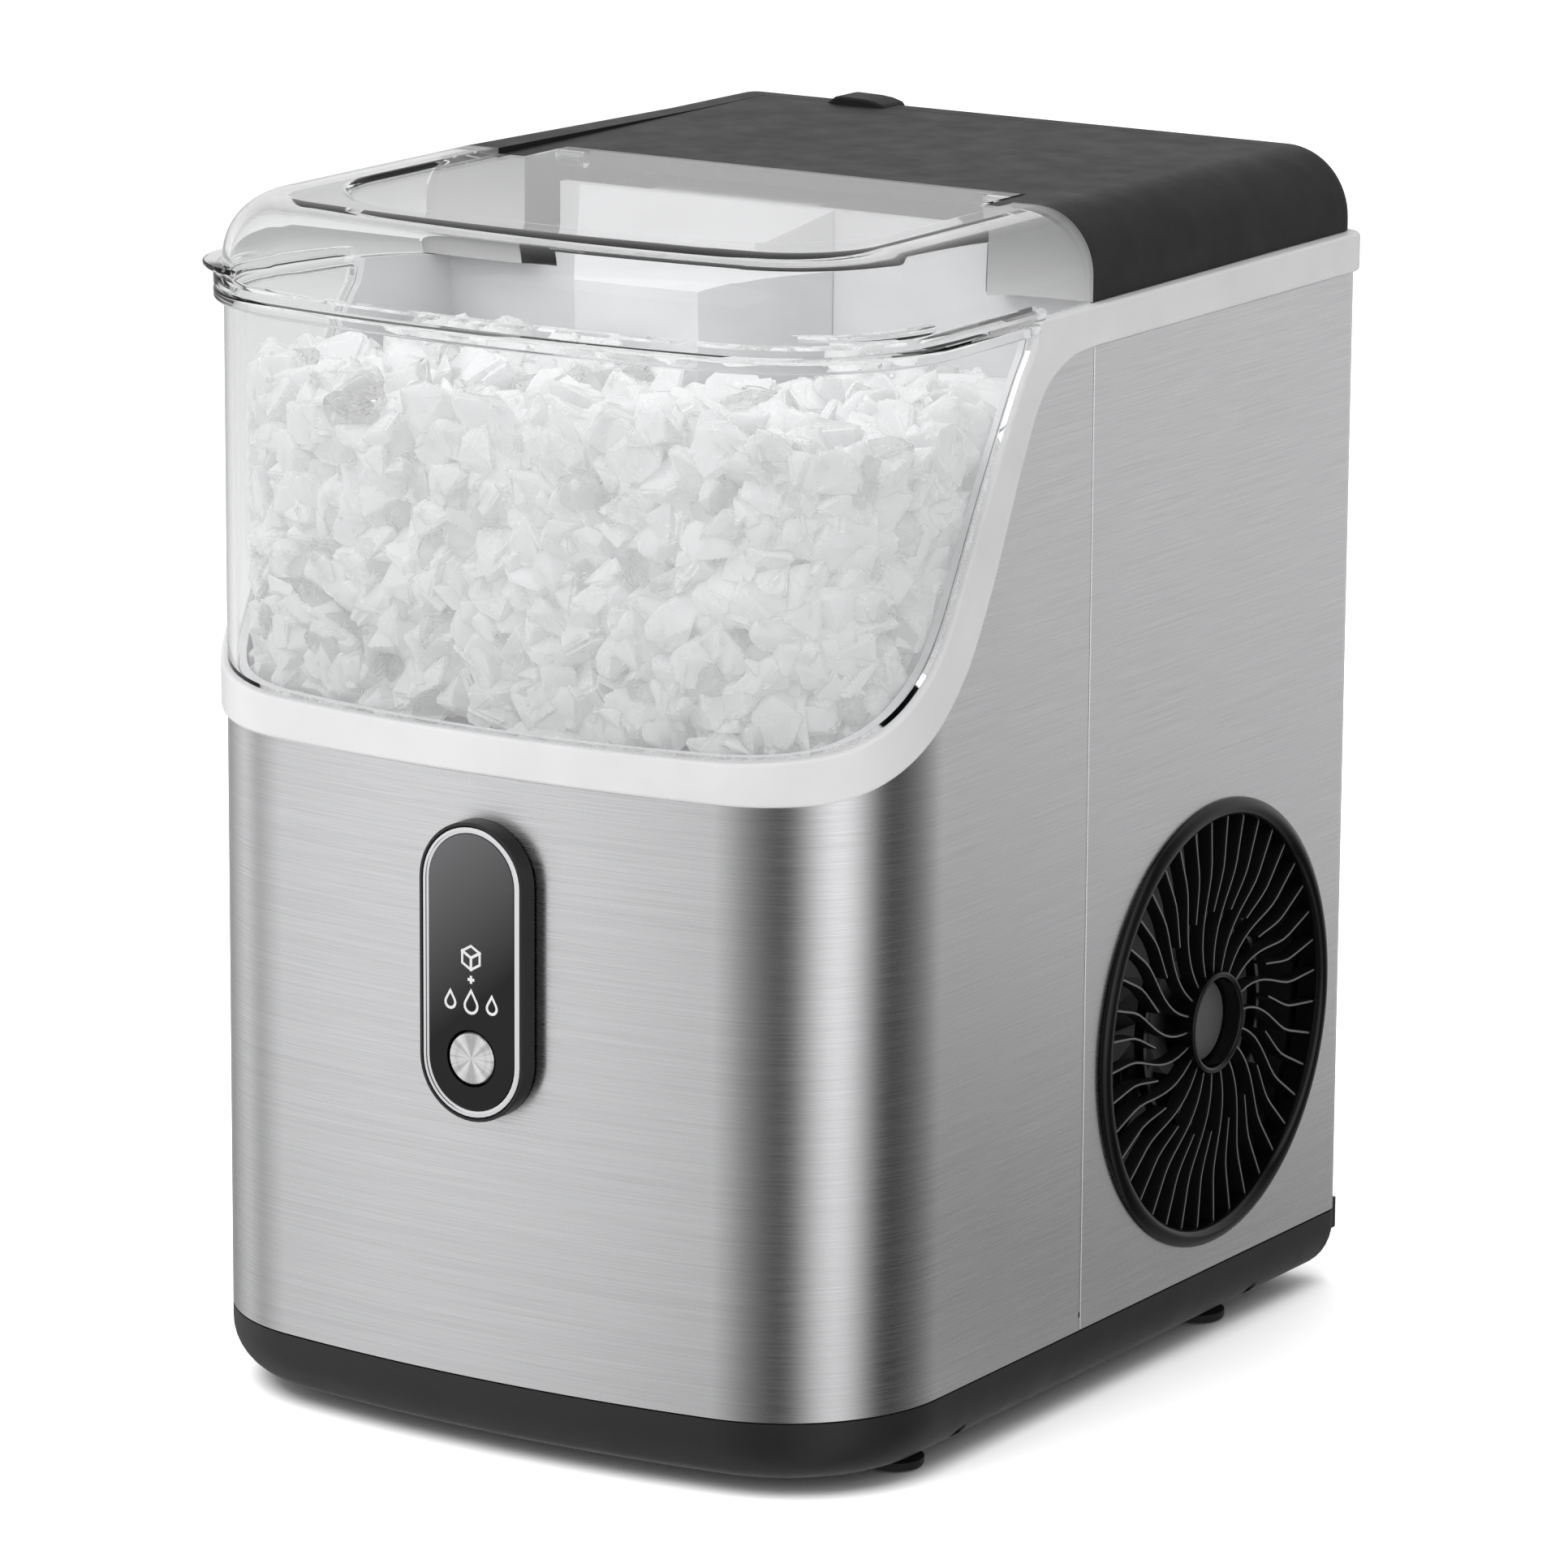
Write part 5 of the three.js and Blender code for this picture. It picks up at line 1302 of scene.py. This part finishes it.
def make_floor():
    """A white floor: the camera sees it at full brightness, the object only gets its softer bounce."""
    floor = stage_plane("floor", -0.2)
    look = Look("white floor", (0.92, 0.92, 0.92), 0.9)
    look.vary_color(look.noise(3), 0.99, 1.01)
    bounce = look.node("ShaderNodeBsdfDiffuse")
    bounce.inputs["Color"].default_value = (0.4, 0.4, 0.4, 1)
    path = look.node("ShaderNodeLightPath")
    mix = look.node("ShaderNodeMixShader")
    look.link(path.outputs["Is Camera Ray"], mix.inputs[0])
    look.link(bounce.outputs[0], mix.inputs[1])
    look.link(look.shader.outputs[0], mix.inputs[2])
    look.link(mix.outputs[0], look.tree.nodes["Material Output"].inputs["Surface"])
    floor.data.materials.append(look.material)
    floor.visible_glossy = False
    return floor


FLOOR_SHADE_CENTRE = (0.25, 0.1, 0)
FLOOR_SHADE = ((0.0, 0.36), (0.1, 0.45), (0.4, 0.78), (1.0, 1.0))  # share of the reach, light kept
FLOOR_SHADE_REACH = 1.15


def make_floor_shade():
    """Seen only in reflections: the floor darkens towards the object, most of all on its right."""
    shade = stage_plane("floor shade", -0.4)
    look = Look("floor shade", (1, 1, 1), 1)
    place = look.node("ShaderNodeTexCoord")
    distance = look.node("ShaderNodeVectorMath", operation="DISTANCE")
    distance.inputs[1].default_value = FLOOR_SHADE_CENTRE
    look.link(place.outputs["Object"], distance.inputs[0])
    ramp = look.node("ShaderNodeValToRGB")
    fill_ramp(ramp.color_ramp, FLOOR_SHADE)
    look.link(look.spread(distance.outputs["Value"], 0, 1, 0, FLOOR_SHADE_REACH), ramp.inputs["Fac"])
    filter_light = look.node("ShaderNodeBsdfTransparent")
    look.link(ramp.outputs["Color"], filter_light.inputs["Color"])
    look.link(filter_light.outputs[0], look.tree.nodes["Material Output"].inputs["Surface"])
    shade.data.materials.append(look.material)
    for kind in ("camera", "diffuse", "transmission", "shadow", "volume_scatter"):
        setattr(shade, f"visible_{kind}", False)
    return shade


def make_stage():
    floor = make_floor()
    make_floor_shade()
    make_world()
    middle = (0, 0, 0.17)
    key = area_light("key", (-0.5, -1.1, 1.9), middle, (1.2, 1.2), 7)
    key.visible_glossy = False
    floor_only = bpy.data.collections.new("floor only")
    floor_only.objects.link(floor)
    wash = area_light("floor wash", (-0.3, -0.45, 2.2), (0, 0, 0), (3.2, 3.2), 120)
    wash.visible_glossy = False
    wash.light_linking.receiver_collection = floor_only


def make_camera():
    azimuth, elevation, roll = (math.radians(a) for a in (32.406, 13.175, 0.363))
    place = Vector((1.21771, -1.90787, 0.69264))
    back = Vector((math.sin(azimuth) * math.cos(elevation), -math.cos(azimuth) * math.cos(elevation),
                   math.sin(elevation)))
    level = Vector((math.cos(azimuth), math.sin(azimuth), 0))
    upright = back.cross(level)
    right = math.cos(roll) * level + math.sin(roll) * upright
    up = math.cos(roll) * upright - math.sin(roll) * level
    turn = Matrix((right, up, back)).transposed()
    camera = bpy.data.objects.new("camera", bpy.data.cameras.new("camera"))
    camera.matrix_world = Matrix.Translation(place) @ turn.to_4x4()
    camera.data.sensor_width = 36
    camera.data.lens = 187.61
    camera.data.clip_end = 50
    bpy.context.scene.collection.objects.link(camera)
    bpy.context.scene.camera = camera


make_stage()
make_camera()
bpy.context.scene.view_settings.view_transform = "Standard"
